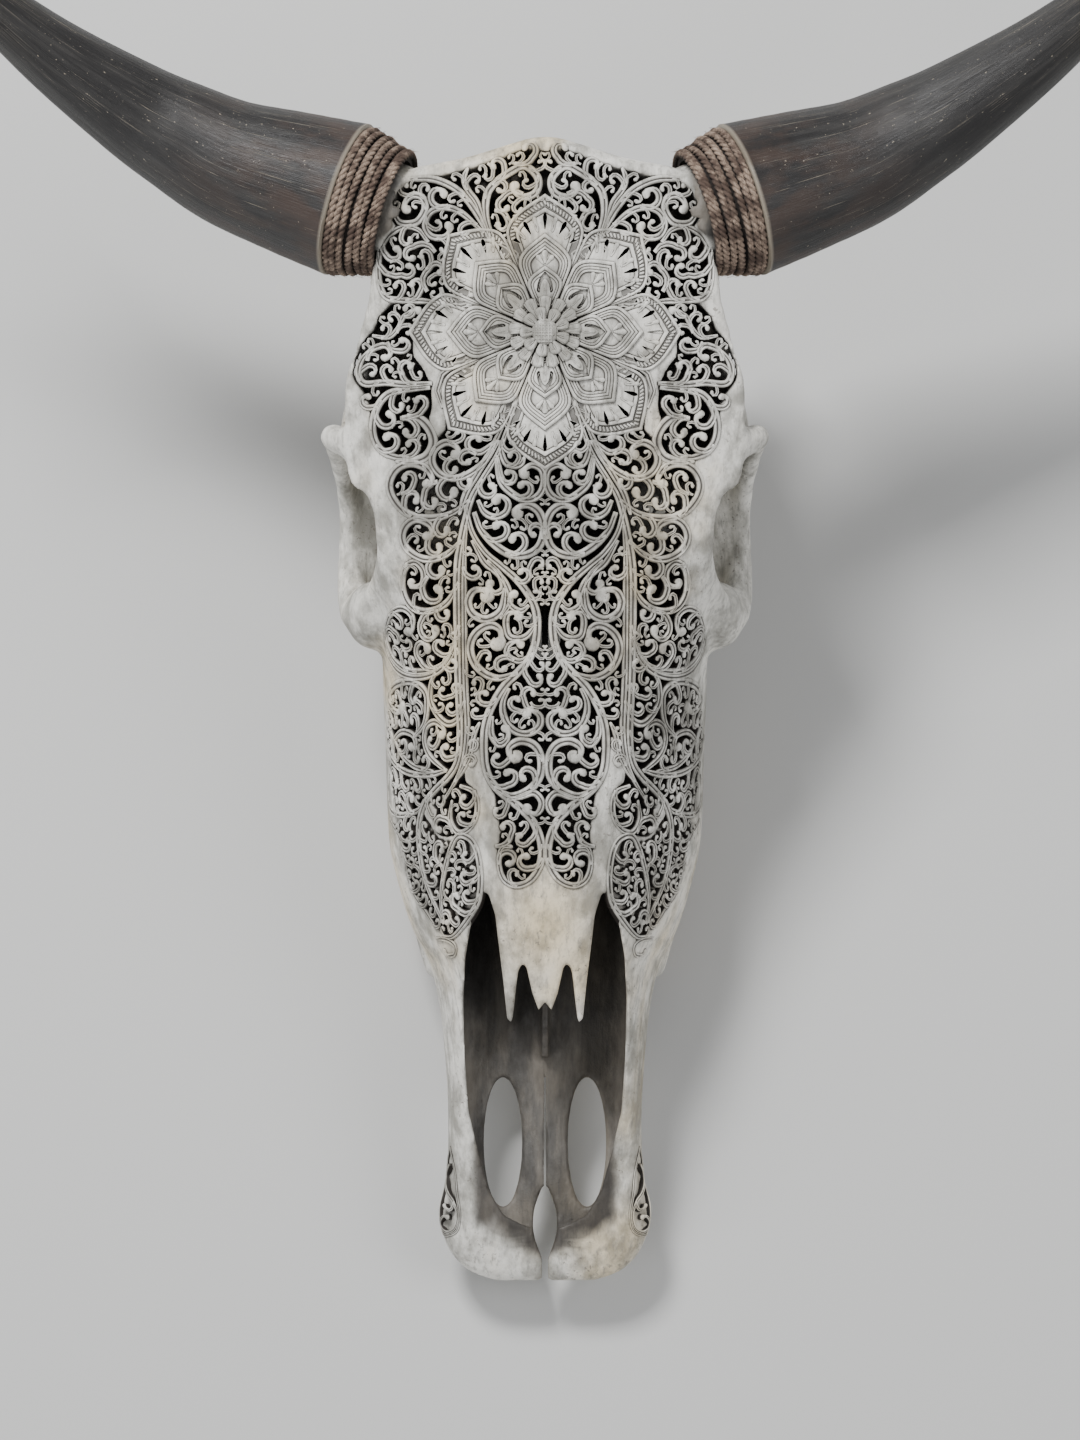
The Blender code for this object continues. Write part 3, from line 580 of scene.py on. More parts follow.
@dataclass(frozen=True)
class CordFinish:
    """Coarse plant-fibre rope, tan, with painted shade that makes it nearly black between its strands and on
    the layer under them.
    """

    name: str = "plant_fibre"
    tan: Point = (0.42, 0.315, 0.24)
    umber: Point = (0.085, 0.055, 0.041)
    shadow: Point = (0.014, 0.010, 0.008)

    def material(self) -> Material:
        """Builds the node tree."""
        n = Nodes(self.name)
        place = n.place()
        lay = n.field("streak", vector=True)
        base = n.mix(n.ramp(n.noise(place, 95.0, 5.0, 0.65), 0.40, 0.60), self.umber, self.tan)
        fibres = n.noise(n.stretched(lay, (1.0, 1.0, 0.16)), 2.4, 3.0, 0.7)
        base = n.mix(n.ramp(fibres, 0.38, 0.60, 0.75, 0.0), base, self.umber)
        # Painted shade: the stored field darkens the rope between its strands and over the layer under it.
        base = n.mix(n.field("dirt"), base, self.shadow)
        return n.finish(base, 0.9, n.bump(fibres, 0.0005, 0.9))


@dataclass(frozen=True)
class EnamelFinish:
    """A grazing tooth: yellowed enamel on its flanks, brown cement in the folds and at the neck."""

    name: str = "old_enamel"
    ivory: Point = (0.58, 0.50, 0.36)
    cement: Point = (0.16, 0.105, 0.06)

    def material(self) -> Material:
        """Builds the node tree."""
        n = Nodes(self.name)
        place = n.place()
        stain = n.ramp(n.noise(n.stretched(place, (1.0, 1.0, 0.35)), 150.0, 4.0), 0.42, 0.66)
        base = n.mix(stain, self.ivory, self.cement)
        base = n.mix(n.field("dirt"), base, self.cement)
        return n.finish(base, n.ramp(stain, 0.0, 1.0, 0.28, 0.6), n.bump(n.noise(place, 700.0), 0.0002, 0.4))


@dataclass(frozen=True)
class FloorFinish:
    """A plain pale floor."""

    name: str = "pale_floor"
    colour: Point = (0.60, 0.60, 0.59)

    def material(self) -> Material:
        """Builds the node tree."""
        return Nodes(self.name).finish((*self.colour, 1.0), 0.9)


def dress(item: Object, finish: Material, slot: Slot, *nodes: str) -> None:
    """Puts a finished piece in the row frame, gives it its finish, and hides the CAD nodes that it stands
    for.

    Args:
        item: the piece, in the face frame.
        finish: its material.
        slot: the record's slot of its finish; not used.
        nodes: the CAD nodes that it stands for.
    """
    FACE.settle(item)
    item.data.materials.clear()
    item.data.materials.append(finish)
    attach(item, "root")
    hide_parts(*nodes)
    item.data.calc_loop_triangles()
    log.info("%s: %d triangles", item.name, len(item.data.loop_triangles))


# The head

@dataclass(frozen=True)
class Loft:
    """A closed form through half sections along the face.

    A section is: along, top, roof edge (x, z), widest point (x, z), foot (x, z), floor.
    """

    name: str
    sections: tuple
    between: int = 4
    steps: int = 9

    def half_at(self, along: float) -> np.ndarray:
        """Gives the half section there, from the middle of the roof to the middle of the floor: x, z."""
        keys = np.array([row[0] for row in self.sections], dtype=float)
        table = np.array([[row[1], *row[2], *row[3], *row[4], row[5]] for row in self.sections], dtype=float)
        top, rx, rz, sx, sz, fx, fz, floor = [eased(keys, column, np.array([along]))[0] for column in table.T]
        corners = [(-rx, rz), (0, top), (rx, rz), (sx, sz), (fx, fz), (0, floor), (-fx, fz)]
        half = spline(corners, self.steps)[self.steps:-self.steps]
        half[0, 0] = half[-1, 0] = 0.0
        return np.column_stack([np.maximum(half[:, 0], 0.0), half[:, 1]])

    def build(self) -> Object:
        """Skins the sections with a rolled grid."""
        keys = [row[0] for row in self.sections]
        places = [near + (far - near) * i / self.between for near, far in zip(keys, keys[1:])
                  for i in range(self.between)]
        rings = []
        for along in [*places, keys[-1]]:
            half = self.half_at(along)
            outline = mirrored(half)
            rings.append(np.column_stack([outline[:, 0], np.full(len(outline), along), outline[:, 1]]))
        return to_object(self.name, rolled(np.array(rings)))


@dataclass(frozen=True)
class Limb:
    """A round limb of varying thickness through points of x, y, z and radius."""

    name: str
    points: tuple
    closed: bool = False
    sides: int = 16
    steps: int = 6

    def build(self, side: Side) -> Object:
        """Sweeps a circle along the limb on one side of the head.

        Args:
            side: the side of the head.

        Returns:
            The limb as a closed mesh.
        """
        line = spline(self.points, self.steps, self.closed)
        if self.closed:
            line = np.vstack([line, line[:1]])
        rings = []
        for number, row in enumerate(line):
            way = line[min(number + 1, len(line) - 1), :3] - line[max(number - 1, 0), :3]
            rings.append(ring_round(row[:3], way, [row[3]] * self.sides))
        return to_object(self.name, rolled(np.array(rings) * (side.value, 1, 1)))


@dataclass(frozen=True)
class Lump:
    """An ellipsoid: a centre and three radii."""

    name: str
    centre: Point
    radii: Point

    def build(self, side: Side = Side.RIGHT) -> Object:
        """Makes the ellipsoid on one side of the head."""
        mesh = bmesh.new()
        bmesh.ops.create_uvsphere(mesh, u_segments=32, v_segments=20, radius=1.0)
        centre = Matrix.Translation((side.value * self.centre[0], *self.centre[1:]))
        return to_object(self.name, moved(mesh, centre @ Matrix.Diagonal((*self.radii, 1.0))))


def upright(name: str, outline: np.ndarray, low: float, high: float, cell: float = 0.0) -> Object:
    """Makes a prism of an outline in x and y.

    Args:
        name: the prism's name.
        outline: its points.
        low: its foot.
        high: its top.
        cell: the size of the cells that it is cut into so that it can follow a curved face, or 0.

    Returns:
        The prism.
    """
    mesh = bmesh.new()
    mesh.faces.new([mesh.verts.new((x, y, low)) for x, y in outline])
    for axis, normal in enumerate(((1, 0, 0), (0, 1, 0)) if cell else ()):
        first, last = outline[:, axis].min(), outline[:, axis].max()
        for at in np.arange(math.ceil(first / cell) * cell, last, cell):
            bmesh.ops.bisect_plane(mesh, geom=mesh.verts[:] + mesh.edges[:] + mesh.faces[:], dist=1e-4,
                                   plane_co=Vector(normal) * at, plane_no=normal)
    made = bmesh.ops.extrude_face_region(mesh, geom=mesh.faces[:])["geom"]
    top = [item for item in made if isinstance(item, BMVert)]
    bmesh.ops.translate(mesh, vec=(0, 0, high - low), verts=top)
    bmesh.ops.recalc_face_normals(mesh, faces=mesh.faces)
    if cell:
        bmesh.ops.triangulate(mesh, faces=[face for face in mesh.faces if len(face.verts) > 4])
    return to_object(name, mesh)


@dataclass
class Head:
    """The bone before it is carved, and the surface of its face."""

    outer: Loft = Loft("head", (
        (0, -46, (19, -46), (25, -51), (19, -57), -57),
        (4, -44, (28, -44), (36, -50), (28, -58), -58),
        (10, -43, (34, -43), (43.5, -50), (34, -59), -59),
        (20, -41, (38, -41), (49, -50), (40, -60), -60),
        (34, -40, (39, -41), (51.5, -50), (42, -61), -61),
        (50, -38, (38, -40), (47.5, -52), (40, -64), -63),
        (80, -32, (38, -37), (46.5, -54), (41, -70), -68),
        (120, -17, (34, -30), (48, -55), (44, -79), -75),
        (150, -12, (32, -22), (51, -55), (50, -86), -82),
        (168, -11, (34, -19), (61, -60), (56, -92), -87),
        (185, -9, (36, -17), (67, -62), (60, -98), -92),
        (215, -8, (38, -15), (74, -64), (64, -108), -101),
        (245, -7, (42, -14), (75, -66), (66, -117), -110),
        (285, -6, (50, -14), (78, -66), (64, -128), -122),
        (320, -5, (60, -14), (80, -55), (45, -125), -122),
        (360, -3, (74, -12), (84, -40), (36, -132), -128),
        (400, -1, (84, -14), (92, -28), (34, -140), -138),
        (430, 0, (86, -12), (92, -26), (36, -150), -150),
        (455, 1, (80, -9), (86, -24), (45, -156), -158),
        (480, 1, (76, -8), (81, -24), (52, -158), -166),
        (490, 1, (75, -8), (80, -24), (50, -110), -135),
        (508, 0, (73, -8), (78, -24), (48, -75), -92),
        (527, -1, (70, -9), (73, -24), (46, -42), -49),
        (536, -2, (55, -8), (66, -20), (45, -32), -38),
        (542, -3, (30, -7), (38, -16), (30, -25), -29),
        (547, -5, (16, -7), (22, -13), (16, -19), -20),
        (552, -8, (4, -9), (6, -12), (4, -15), -16),
    ))
    orbit_rim: Limb = Limb("orbit_rim", (
        (101, 407, -28, 7), (87, 397, -20, 6), (78, 374, -20, 4.5), (77, 347, -28, 5),
        (82, 329, -43, 7), (90, 322, -58, 8), (93, 329, -73, 8), (95, 352, -83, 6),
        (96.5, 378, -80, 4.5), (99, 398, -64, 6), (102, 407, -44, 6),
    ), closed=True)
    hollows: tuple[Lump, ...] = (
        Lump("socket", (67, 369, -58), (37, 33, 27)),
        Lump("socket_mouth", (89, 366, -40), (17, 34, 26)),
        Lump("temple", (106, 442, -80), (50, 46, 58)),
    )
    limbs: tuple[Limb, ...] = (
        Limb("cheek_arch", ((94, 378, -84, 7), (94, 415, -98, 6), (84, 450, -116, 6), (73, 474, -124, 9))),
        Limb("ear_process", ((46, 470, -150, 13), (44, 470, -190, 11), (42, 462, -226, 9))),
        Limb("palate_wing", ((19, 296, -118, 5), (18, 322, -138, 5), (17, 352, -150, 5), (18, 388, -146, 5))),
        Limb("molar_ridge", ((49, 148, -84, 9), (56, 180, -97, 10), (60, 230, -113, 11),
                             (58, 290, -128, 11))),
    )
    lumps: tuple[Lump, ...] = (
        Lump("ear_lump", (75, 488, -118), (11, 13, 11)),
        Lump("ear_bulb", (38, 452, -160), (13, 20, 16)),
        Lump("cheek_lump", (82, 322, -60), (15, 17, 20)),
        Lump("condyle", (22, 486, -168), (15, 18, 20)),
        Lump("cheek_plate", (86, 360, -86), (13, 42, 5)),
    )
    rough_voxel: float = 2.4
    rough_passes: int = 6

    def blank(self) -> Object:
        """Joins the outer forms of the head under one skin."""
        hollows = [hollow.build(side) for side in Side for hollow in self.hollows]
        forms = [cut(self.outer.build(), hollows)]
        for side in Side:
            forms.append(self.orbit_rim.build(side))
            forms += [limb.build(side) for limb in self.limbs]
            forms += [lump.build(side) for lump in self.lumps]
        whole = bmesh.new()
        for form in forms:
            whole.from_mesh(form.data)
            bpy.data.objects.remove(form)
        return skinned(to_object("blank", whole), self.rough_voxel, self.rough_passes)


def skinned(item: Object, voxel: float, passes: int, triangles: int = 0) -> Object:
    """Puts one even skin over a form, which rounds its edges.

    Args:
        item: the form.
        voxel: the size of the skin's faces.
        passes: how often the skin is smoothed.
        triangles: how many triangles are left, or 0 for all of them.

    Returns:
        The skinned form.
    """
    skin = item.modifiers.new("skin", "REMESH")
    skin.mode = "VOXEL"
    skin.voxel_size = voxel
    smooth = item.modifiers.new("smooth", "SMOOTH")
    smooth.iterations = passes
    made = baked(item)
    if triangles:
        made.data.calc_loop_triangles()
        fewer = made.modifiers.new("fewer", "DECIMATE")
        fewer.ratio = min(triangles / len(made.data.loop_triangles), 1.0)
        made = baked(made)
    return made


class FaceSkin:
    """The surface of the face, on which the carving is laid flat and then wrapped."""

    spacing = 2.0
    reach = 132.0
    last_along = 549.0
    ray_start = 14.0
    ray_length = 26.0
    smoothing = 3

    def __init__(self, outer: Loft, blank: Object) -> None:
        """Samples the bone on a grid of distances across and along the face.

        Args:
            outer: the head's outer form, which leads the grid.
            blank: the skinned bone, which the grid is dropped onto.
        """
        tree = BVHTree.FromObject(blank, bpy.context.evaluated_depsgraph_get())
        self.across = np.arange(0.0, self.reach, self.spacing)
        self.along = np.arange(2.0, self.last_along, self.spacing)
        places = np.zeros((len(self.along), len(self.across), 3))
        for row, along in enumerate(self.along):
            half = outer.half_at(along)
            lead = np.column_stack([np.interp(self.across, reach_along(half), line) for line in half.T])
            ahead = np.gradient(lead, axis=0)
            for column, ((x, z), (dx, dz)) in enumerate(zip(lead, ahead)):
                out = Vector((-dz, 0.0, dx))
                out = out.normalized() if out.length > 1e-6 else Vector((0, 0, -1))
                start = Vector((x, along, z)) + out * self.ray_start
                hit = tree.ray_cast(start, -out, self.ray_length)[0]
                places[row, column] = hit if hit is not None else (x, along, z)
        for _ in range(self.smoothing):
            middle = places[1:-1, 1:-1]
            around = places[2:, 1:-1] + places[:-2, 1:-1] + places[1:-1, 2:] + places[1:-1, :-2]
            places[1:-1, 1:-1] = 0.5 * middle + 0.125 * around
        places[:, 0, 0] = 0.0
        self.places = places
        normals = np.cross(np.gradient(places, axis=1), np.gradient(places, axis=0))
        normals[:, 0, 0] = 0.0
        self.normals = unit(normals)

    def read(self, grid: np.ndarray, across: np.ndarray, along: np.ndarray) -> np.ndarray:
        """Reads a grid between its knots.

        Args:
            grid: a row of three for each knot.
            across: distances across the face.
            along: distances along it.

        Returns:
            A row of three for each place.
        """
        i = np.clip((along - self.along[0]) / self.spacing, 0, len(self.along) - 1.001)
        j = np.clip(across / self.spacing, 0, len(self.across) - 1.001)
        i0, j0 = i.astype(int), j.astype(int)
        fi, fj = (i - i0)[:, None], (j - j0)[:, None]
        near = grid[i0, j0] * (1 - fj) + grid[i0, j0 + 1] * fj
        far = grid[i0 + 1, j0] * (1 - fj) + grid[i0 + 1, j0 + 1] * fj
        return near * (1 - fi) + far * fi

    def wrap(self, flat: np.ndarray) -> np.ndarray:
        """Wraps flat points onto the bone.

        Args:
            flat: rows of distance across, distance along and lift.

        Returns:
            Their places in the face frame.
        """
        across = np.abs(flat[:, 0])
        places = self.read(self.places, across, flat[:, 1])
        laid = places + unit(self.read(self.normals, across, flat[:, 1])) * flat[:, 2:3]
        laid[:, 0] *= np.where(flat[:, 0] < 0, -1.0, 1.0)
        return laid

    def wrap_item(self, item: Object) -> Object:
        """Wraps a whole flat mesh onto the bone."""
        move_to(item, self.wrap(coordinates(item)))
        return item

    def unroll(self, seen: np.ndarray) -> np.ndarray:
        """Turns places seen from the front into distances across and along the face.

        Args:
            seen: rows of x and y in the face frame.

        Returns:
            Rows of distance across and along.
        """
        flat = np.empty((len(seen), 2))
        for number, (x, y) in enumerate(seen):
            row = self.read(self.places, self.across, np.full(len(self.across), y))
            rising = int(np.argmax(row[:, 0])) + 1
            flat[number] = math.copysign(np.interp(abs(x), row[:rising, 0], self.across[:rising]), x), y
        return flat

    def traced(self, pixels: Point) -> np.ndarray:
        """Turns pixels of the photograph into flat places."""
        return self.unroll(TRACING.place(pixels))


def dress_carving(skin: FaceSkin, piece: Object, finish: Material) -> None:
    """Wraps flat carving onto the face and gives it the finish of the bone's outside."""
    skin.wrap_item(piece)
    for field in ("inner", "deep"):
        set_field(piece, field, np.zeros(len(piece.data.vertices)))
    dress(piece, finish, Slot.BONE, "skull")


# The carved bone

def mirrored(half: np.ndarray) -> np.ndarray:
    """Closes a half outline that starts and ends on the midline with its mirror image."""
    return np.vstack([half, (np.array(half) * (-1, 1))[-2:0:-1]])


@dataclass(frozen=True)
class Window:
    """A region of the face that is cut away behind the carving: its outline in photograph pixels.

    The outline is that of the left half. One that meets the midline becomes one region with its mirror.
    """

    name: str
    pixels: tuple
    depth: float = 12.0
    above: float = 6.0
    cell: float = 8.0
    meets_midline: bool = False

    def outlines(self, skin: FaceSkin) -> list[np.ndarray]:
        """Gives the flat outlines on both sides of the face."""
        left = skin.traced(self.pixels)
        if self.meets_midline:
            left[0, 0] = left[-1, 0] = 0.0
            return [mirrored(left)]
        return [left, (left * (-1, 1))[::-1]]

    def cutters(self, skin: FaceSkin) -> list[Object]:
        """Makes the cutters of the region."""
        return [skin.wrap_item(upright(self.name, outline, -self.depth, self.above, self.cell))
                for outline in self.outlines(skin)]


WINDOWS = (
    Window("main_window", (545, 151, 530, 148, 515, 151, 500, 158, 485, 163, 468, 168, 450, 173, 430, 178,
        410, 181, 398, 190, 391, 203, 389, 216, 396, 226, 386, 237, 380, 250, 379, 270, 383, 289,
        394, 299, 415, 303, 436, 310, 446, 335, 446, 370, 452, 405, 446, 430, 436, 440, 432, 452,
        433, 464, 426, 469, 411, 465, 398, 470, 391, 484, 395, 499, 407, 511, 420, 516, 408, 522,
        403, 533, 406, 545, 417, 556, 408, 562, 404, 576, 406, 595, 414, 606, 404, 607, 390, 615,
        385, 627, 388, 648, 399, 668, 414, 676, 404, 682, 390, 691, 387, 708, 386, 735, 388, 765,
        391, 798, 398, 814, 418, 812, 430, 800, 436, 812, 432, 826, 440, 838, 460, 834, 474, 822,
        478, 806, 474, 792, 464, 782, 462, 768, 470, 740, 480, 735, 486, 770, 494, 790, 497, 810,
        501, 832, 498, 850, 500, 868, 505, 881, 517, 887, 532, 880, 541, 864,
        545, 850), meets_midline=True),
    Window("side_window", (432, 305, 410, 303, 390, 303, 380, 314, 373, 330, 360, 346, 353, 362, 354, 380,
        364, 394, 371, 410, 370, 428, 376, 444, 388, 455, 408, 459, 424, 452, 430, 438, 427, 424,
        431, 405, 430, 387, 424, 371, 412, 355, 412, 338, 422, 322)),
    Window("cheek_pocket", (398, 816, 392, 826, 399, 842, 404, 862, 409, 884, 420, 905, 432, 925,
        441, 938, 452, 940, 465, 925, 476, 906, 481, 888, 480, 866, 475, 848, 464, 838, 450, 842,
        436, 838, 428, 824, 420, 812), depth=2.4),
    Window("muzzle_panel", (450, 1152, 442, 1172, 438, 1197, 437, 1221, 443, 1237, 454, 1235, 458, 1218,
        455, 1196, 453, 1174), depth=1.8),
)


@dataclass
class Bone:
    """The skull itself: the blank with its hollows, its openings and the windows of the carving."""

    nose_hollow: Loft = Loft("nose_hollow", (
        (24, -44, (30, -44), (38, -50), (30, -53), -53),
        (50, -42, (32, -43), (39, -51), (33, -57), -57),
        (80, -38, (32, -42), (38, -54), (34, -63), -62),
        (120, -23, (28, -36), (40, -55), (36, -71), -69),
        (150, -18, (27, -28), (43, -56), (42, -78), -76),
        (185, -15, (30, -23), (58, -60), (50, -84), -84),
        (215, -14, (32, -21), (66, -62), (54, -92), -93),
        (245, -13, (36, -20), (67, -64), (55, -100), -101),
        (285, -12, (44, -20), (70, -62), (52, -108), -112),
        (320, -16, (40, -24), (48, -58), (38, -104), -108),
        (350, -28, (22, -34), (26, -60), (22, -94), -97),
        (374, -40, (12, -43), (15, -62), (12, -82), -84),
    ))
    forehead_hollow: Loft = Loft("forehead_hollow", (
        (296, -12, (40, -18), (45, -24), (38, -42), -52),
        (345, -9, (58, -15), (64, -20), (50, -30), -38),
        (385, -8, (70, -14), (77, -20), (62, -32), -40),
        (420, -7, (74, -14), (80, -20), (64, -34), -44),
        (460, -6, (71, -13), (77, -19), (62, -34), -46),
        (500, -6, (65, -13), (71, -18), (56, -28), -38),
        (522, -8, (56, -13), (60, -17), (48, -22), -27),
    ))
    braincase: Lump = Lump("braincase", (0, 448, -98), (32, 43, 32))
    brain_passage: Limb = Limb("brain_passage", ((0, 440, -100, 17), (0, 480, -140, 17), (0, 530, -172, 18)))
    rear_nostril: Lump = Lump("rear_nostril", (0, 318, -128), (13, 26, 22))
    horn_core: Limb = Limb("horn_core", (
        (53, 508.9, -25, 20), (73.6, 515.4, -25.2, 24.6), (94.1, 521.8, -30, 24.5), (122, 530.5, -36, 20),
        (141, 536.4, -39.5, 12)))
    septum: tuple = ((108, -71), (108, -60), (148, -38), (330, -38), (392, -60), (392, -80), (344, -110),
                     (245, -105))
    septum_thickness: float = 3.0
    nose_opening: tuple = (
        (0, 136.5), (2.9, 131), (6.2, 140), (8.6, 151), (10.1, 156), (13, 150.2), (15.8, 125.3),
        (18.2, 127), (20.2, 146.4), (22, 160.8), (24, 177.6), (27.8, 189.6), (32.6, 184.8),
        (36, 171), (38.4, 156.8), (39.4, 136.8), (38.9, 110), (37, 82.6), (32.6, 63.8),
        (27, 44), (20, 32), (10, 27), (0, 26),
    )
    slot_centre: Point = (20.4, 66.5)
    slot_radii: Point = (9.3, 31.5)
    cleft: tuple = ((1.5, -6), (1.5, 9), (2.0, 12), (4.6, 19), (5.8, 26), (5.2, 34), (3.2, 40), (1.0, 46))
    slit: tuple = ((0.55, 40), (0.55, 98))
    binding_room: tuple = ((0.0, -23.9), (32.0, -23.9), (39.0, -8.0), (60.0, 0.0), (60.0, 30.0), (0.0, 30.0))
    tooth_room: Point = (15.8, 21.8, 24.4)
    voxel: float = 1.5
    triangles: int = 185000
    inner_depths: Point = (1.5, 5.0)
    deep_depths: Point = (6.0, 16.0)
    nose_depths: Point = (9.0, 32.0)
    nose_rear: Point = (215.0, 165.0)
    straw_patch: Point = (172.0, 24.0, 30.0)

    def hollowed(self, blank: Object, skin: FaceSkin) -> Object:
        """Cuts the hollows and openings, in the order in which the bone closes round them.

        Args:
            blank: the skinned outer form.
            skin: the surface of the face.

        Returns:
            The cut bone.
        """
        rooms = [self.nose_hollow.build(), self.forehead_hollow.build()]
        rooms += [to_object("binding_room", moved(spun(self.binding_room, 40), horn_base(side)))
                  for side in Side]
        bone = cut(blank, rooms)
        bone = cut(bone, [self.horn_core.build(side) for side in Side], "UNION")
        bone = cut(bone, [self.braincase.build(), self.brain_passage.build(Side.RIGHT),
                          self.rear_nostril.build()])
        bone = cut(bone, [self.septum_plate()], "UNION")
        openings = [upright("nose_opening", mirrored(self.nose_opening), -52, 20), self.muzzle_cleft()]
        openings += [self.palate_slot(side) for side in Side]
        openings += [self.tooth_trench(side) for side in Side]
        openings.append(table_block())
        for window in WINDOWS:
            openings += window.cutters(skin)
        return cut(bone, openings)

    def septum_plate(self) -> Object:
        """Makes the thin plate that stands along the middle of the nose."""
        plate = upright("septum", self.septum, -self.septum_thickness / 2, self.septum_thickness / 2)
        plate.data.transform(Matrix(((0, 0, 1, 0), (1, 0, 0, 0), (0, 1, 0, 0), (0, 0, 0, 1))))
        return plate

    def palate_slot(self, side: Side) -> Object:
        """Makes the long hole in the front of the palate on one side."""
        turn = circle(28)
        outline = np.column_stack([side.value * self.slot_centre[0] + self.slot_radii[0] * np.cos(turn),
                                   self.slot_centre[1] + self.slot_radii[1] * np.sin(turn)])
        return upright("palate_slot", outline, -90, -46)

    def muzzle_cleft(self) -> Object:
        """Makes the cleft between the two halves of the muzzle."""
        curve = spline(self.cleft, 4)
        return upright("muzzle_cleft", np.vstack([curve, (curve * (-1, 1))[::-1]]), -90, -20)

    def tooth_trench(self, side: Side) -> Object:
        """Makes the trench that the cheek teeth of one side stand in.

        Args:
            side: the side.

        Returns:
            The cutter of the trench.
        """
        front, back, height = self.tooth_room
        length = math.dist(*TOOTH_ROW) + 0.8
        mesh = bmesh.new()
        bmesh.ops.create_cube(mesh, size=1.0)
        for vert in mesh.verts:
            x, y, z = vert.co
            vert.co = (x * (front + (back - front) * (0.5 + y)), y * length, (z + 0.5) * height)
        return to_object("tooth_trench", moved(mesh, row_place(0.5, side)))

    def build(self, blank: Object, outer: BVHTree, skin: FaceSkin, finish: Material) -> None:
        """Builds the skull and stores where its surface lies inside.

        Args:
            blank: the skinned outer form, which is used up.
            outer: the outer form as a tree, from which depths are measured.
            skin: the surface of the face.
            finish: the bone's material.
        """
        bone = skinned(self.hollowed(blank, skin), self.voxel, 3, self.triangles)
        bone.name = "carved_bone"
        slit = np.array([*self.slit, *[(-x, y) for x, y in reversed(self.slit)]])
        bone = cut(bone, [upright("slit", slit, -90, -50)])
        places = coordinates(bone)
        depth = np.array([outer.find_nearest(Vector(place))[3] for place in places])
        aside, along, height = np.abs(places[:, 0]), places[:, 1], places[:, 2]
        middle, across, length = self.straw_patch
        set_field(bone, "warm", np.exp(-(aside / across) ** 2 - ((along - middle) / length) ** 2))
        # Painted shade: lip darkens the inner slope of the muzzle's front; inner marks the inside for its own
        # darker brown, deepened as shade; deep darkens deep recesses and the nose towards near black.
        lip = (smoothstep(-2.0, 4.0, along - 10.5 - 0.5 * aside) * smoothstep(37.0, 31.0, aside)
               * smoothstep(80.0, 60.0, along) * smoothstep(-56.0, -50.0, height))
        set_field(bone, "inner", np.maximum(smoothstep(*self.inner_depths, depth), lip) * 0.92)
        nose = smoothstep(*self.nose_rear, along)
        deep = smoothstep(*self.deep_depths, depth) * (1 - nose)
        deep += smoothstep(*self.nose_depths, depth) * nose * 0.8
        set_field(bone, "deep", np.maximum(deep, lip * 0.5))
        set_field(bone, "dirt", np.zeros(len(places)))
        bone.data.shade_smooth()
        dress(bone, finish, Slot.BONE, "skull")


# Where the horns, bindings and teeth stand: the horn's course as x, y, z and radius, and the tooth row's ends

HORN_SPINE = (
    (94.1, 521.8, -30, 37.9), (122, 530.5, -36.5, 34.8), (150.7, 540, -40, 31), (175, 552.5, -40, 27.3),
    (199.7, 566.9, -36, 23.5), (242.9, 596.6, -19, 16.8), (282.7, 631.2, 8, 10.5),
    (313.4, 668.2, 37, 5), (329.3, 692.2, 50, 1.4),
)
TOOTH_ROW = ((48.5, 151.0), (58.5, 284.0))


def table_block() -> Object:
    """Makes the block that cuts the processes behind the ears off level with the table."""
    mesh = bmesh.new()
    bmesh.ops.create_cube(mesh, size=1.0)
    level = Matrix.Translation((0, 200, FACE.table_height - 100))
    size = Matrix.Diagonal((400, 1200, 200, 1.0))
    return to_object("table_block", moved(mesh, Matrix.Rotation(-FACE.tilt, 4, "X") @ level @ size))


def horn_base(side: Side) -> Matrix:
    """Gives the place of the horn's base, with its axis along Z, on one side of the head."""
    start, on = Vector(HORN_SPINE[0][:3]), Vector(HORN_SPINE[1][:3])
    turn = (on - start).to_track_quat("Z", "Y").to_matrix().to_4x4()
    return Matrix.Diagonal((side.value, 1, 1, 1)) @ Matrix.Translation(start) @ turn


def row_place(share: float, side: Side) -> Matrix:
    """Gives the place on the table at a share of the tooth row, with the row along Y.

    Args:
        share: the share of the row.
        side: the side of the head.

    Returns:
        The place.
    """
    (x0, y0), (x1, y1) = TOOTH_ROW
    level = Matrix.Rotation(FACE.tilt, 4, "X")
    standing = level @ Vector((x0 + (x1 - x0) * share, y0 + (y1 - y0) * share, -100.0))
    standing.z = FACE.table_height
    turn = Matrix.Rotation(math.atan2(x0 - x1, y1 - y0), 4, "Z")
    move = Matrix.Translation(level.inverted() @ standing) @ level.inverted() @ turn
    return Matrix.Diagonal((side.value, 1, 1, 1)) @ move


# The left half of the carving in photograph pixels. A stem or scroll has a width and the radius of the bulb
# at its end, both in millimetres, and its course as x, y, x, y and so on. A hook has x, y and a radius.

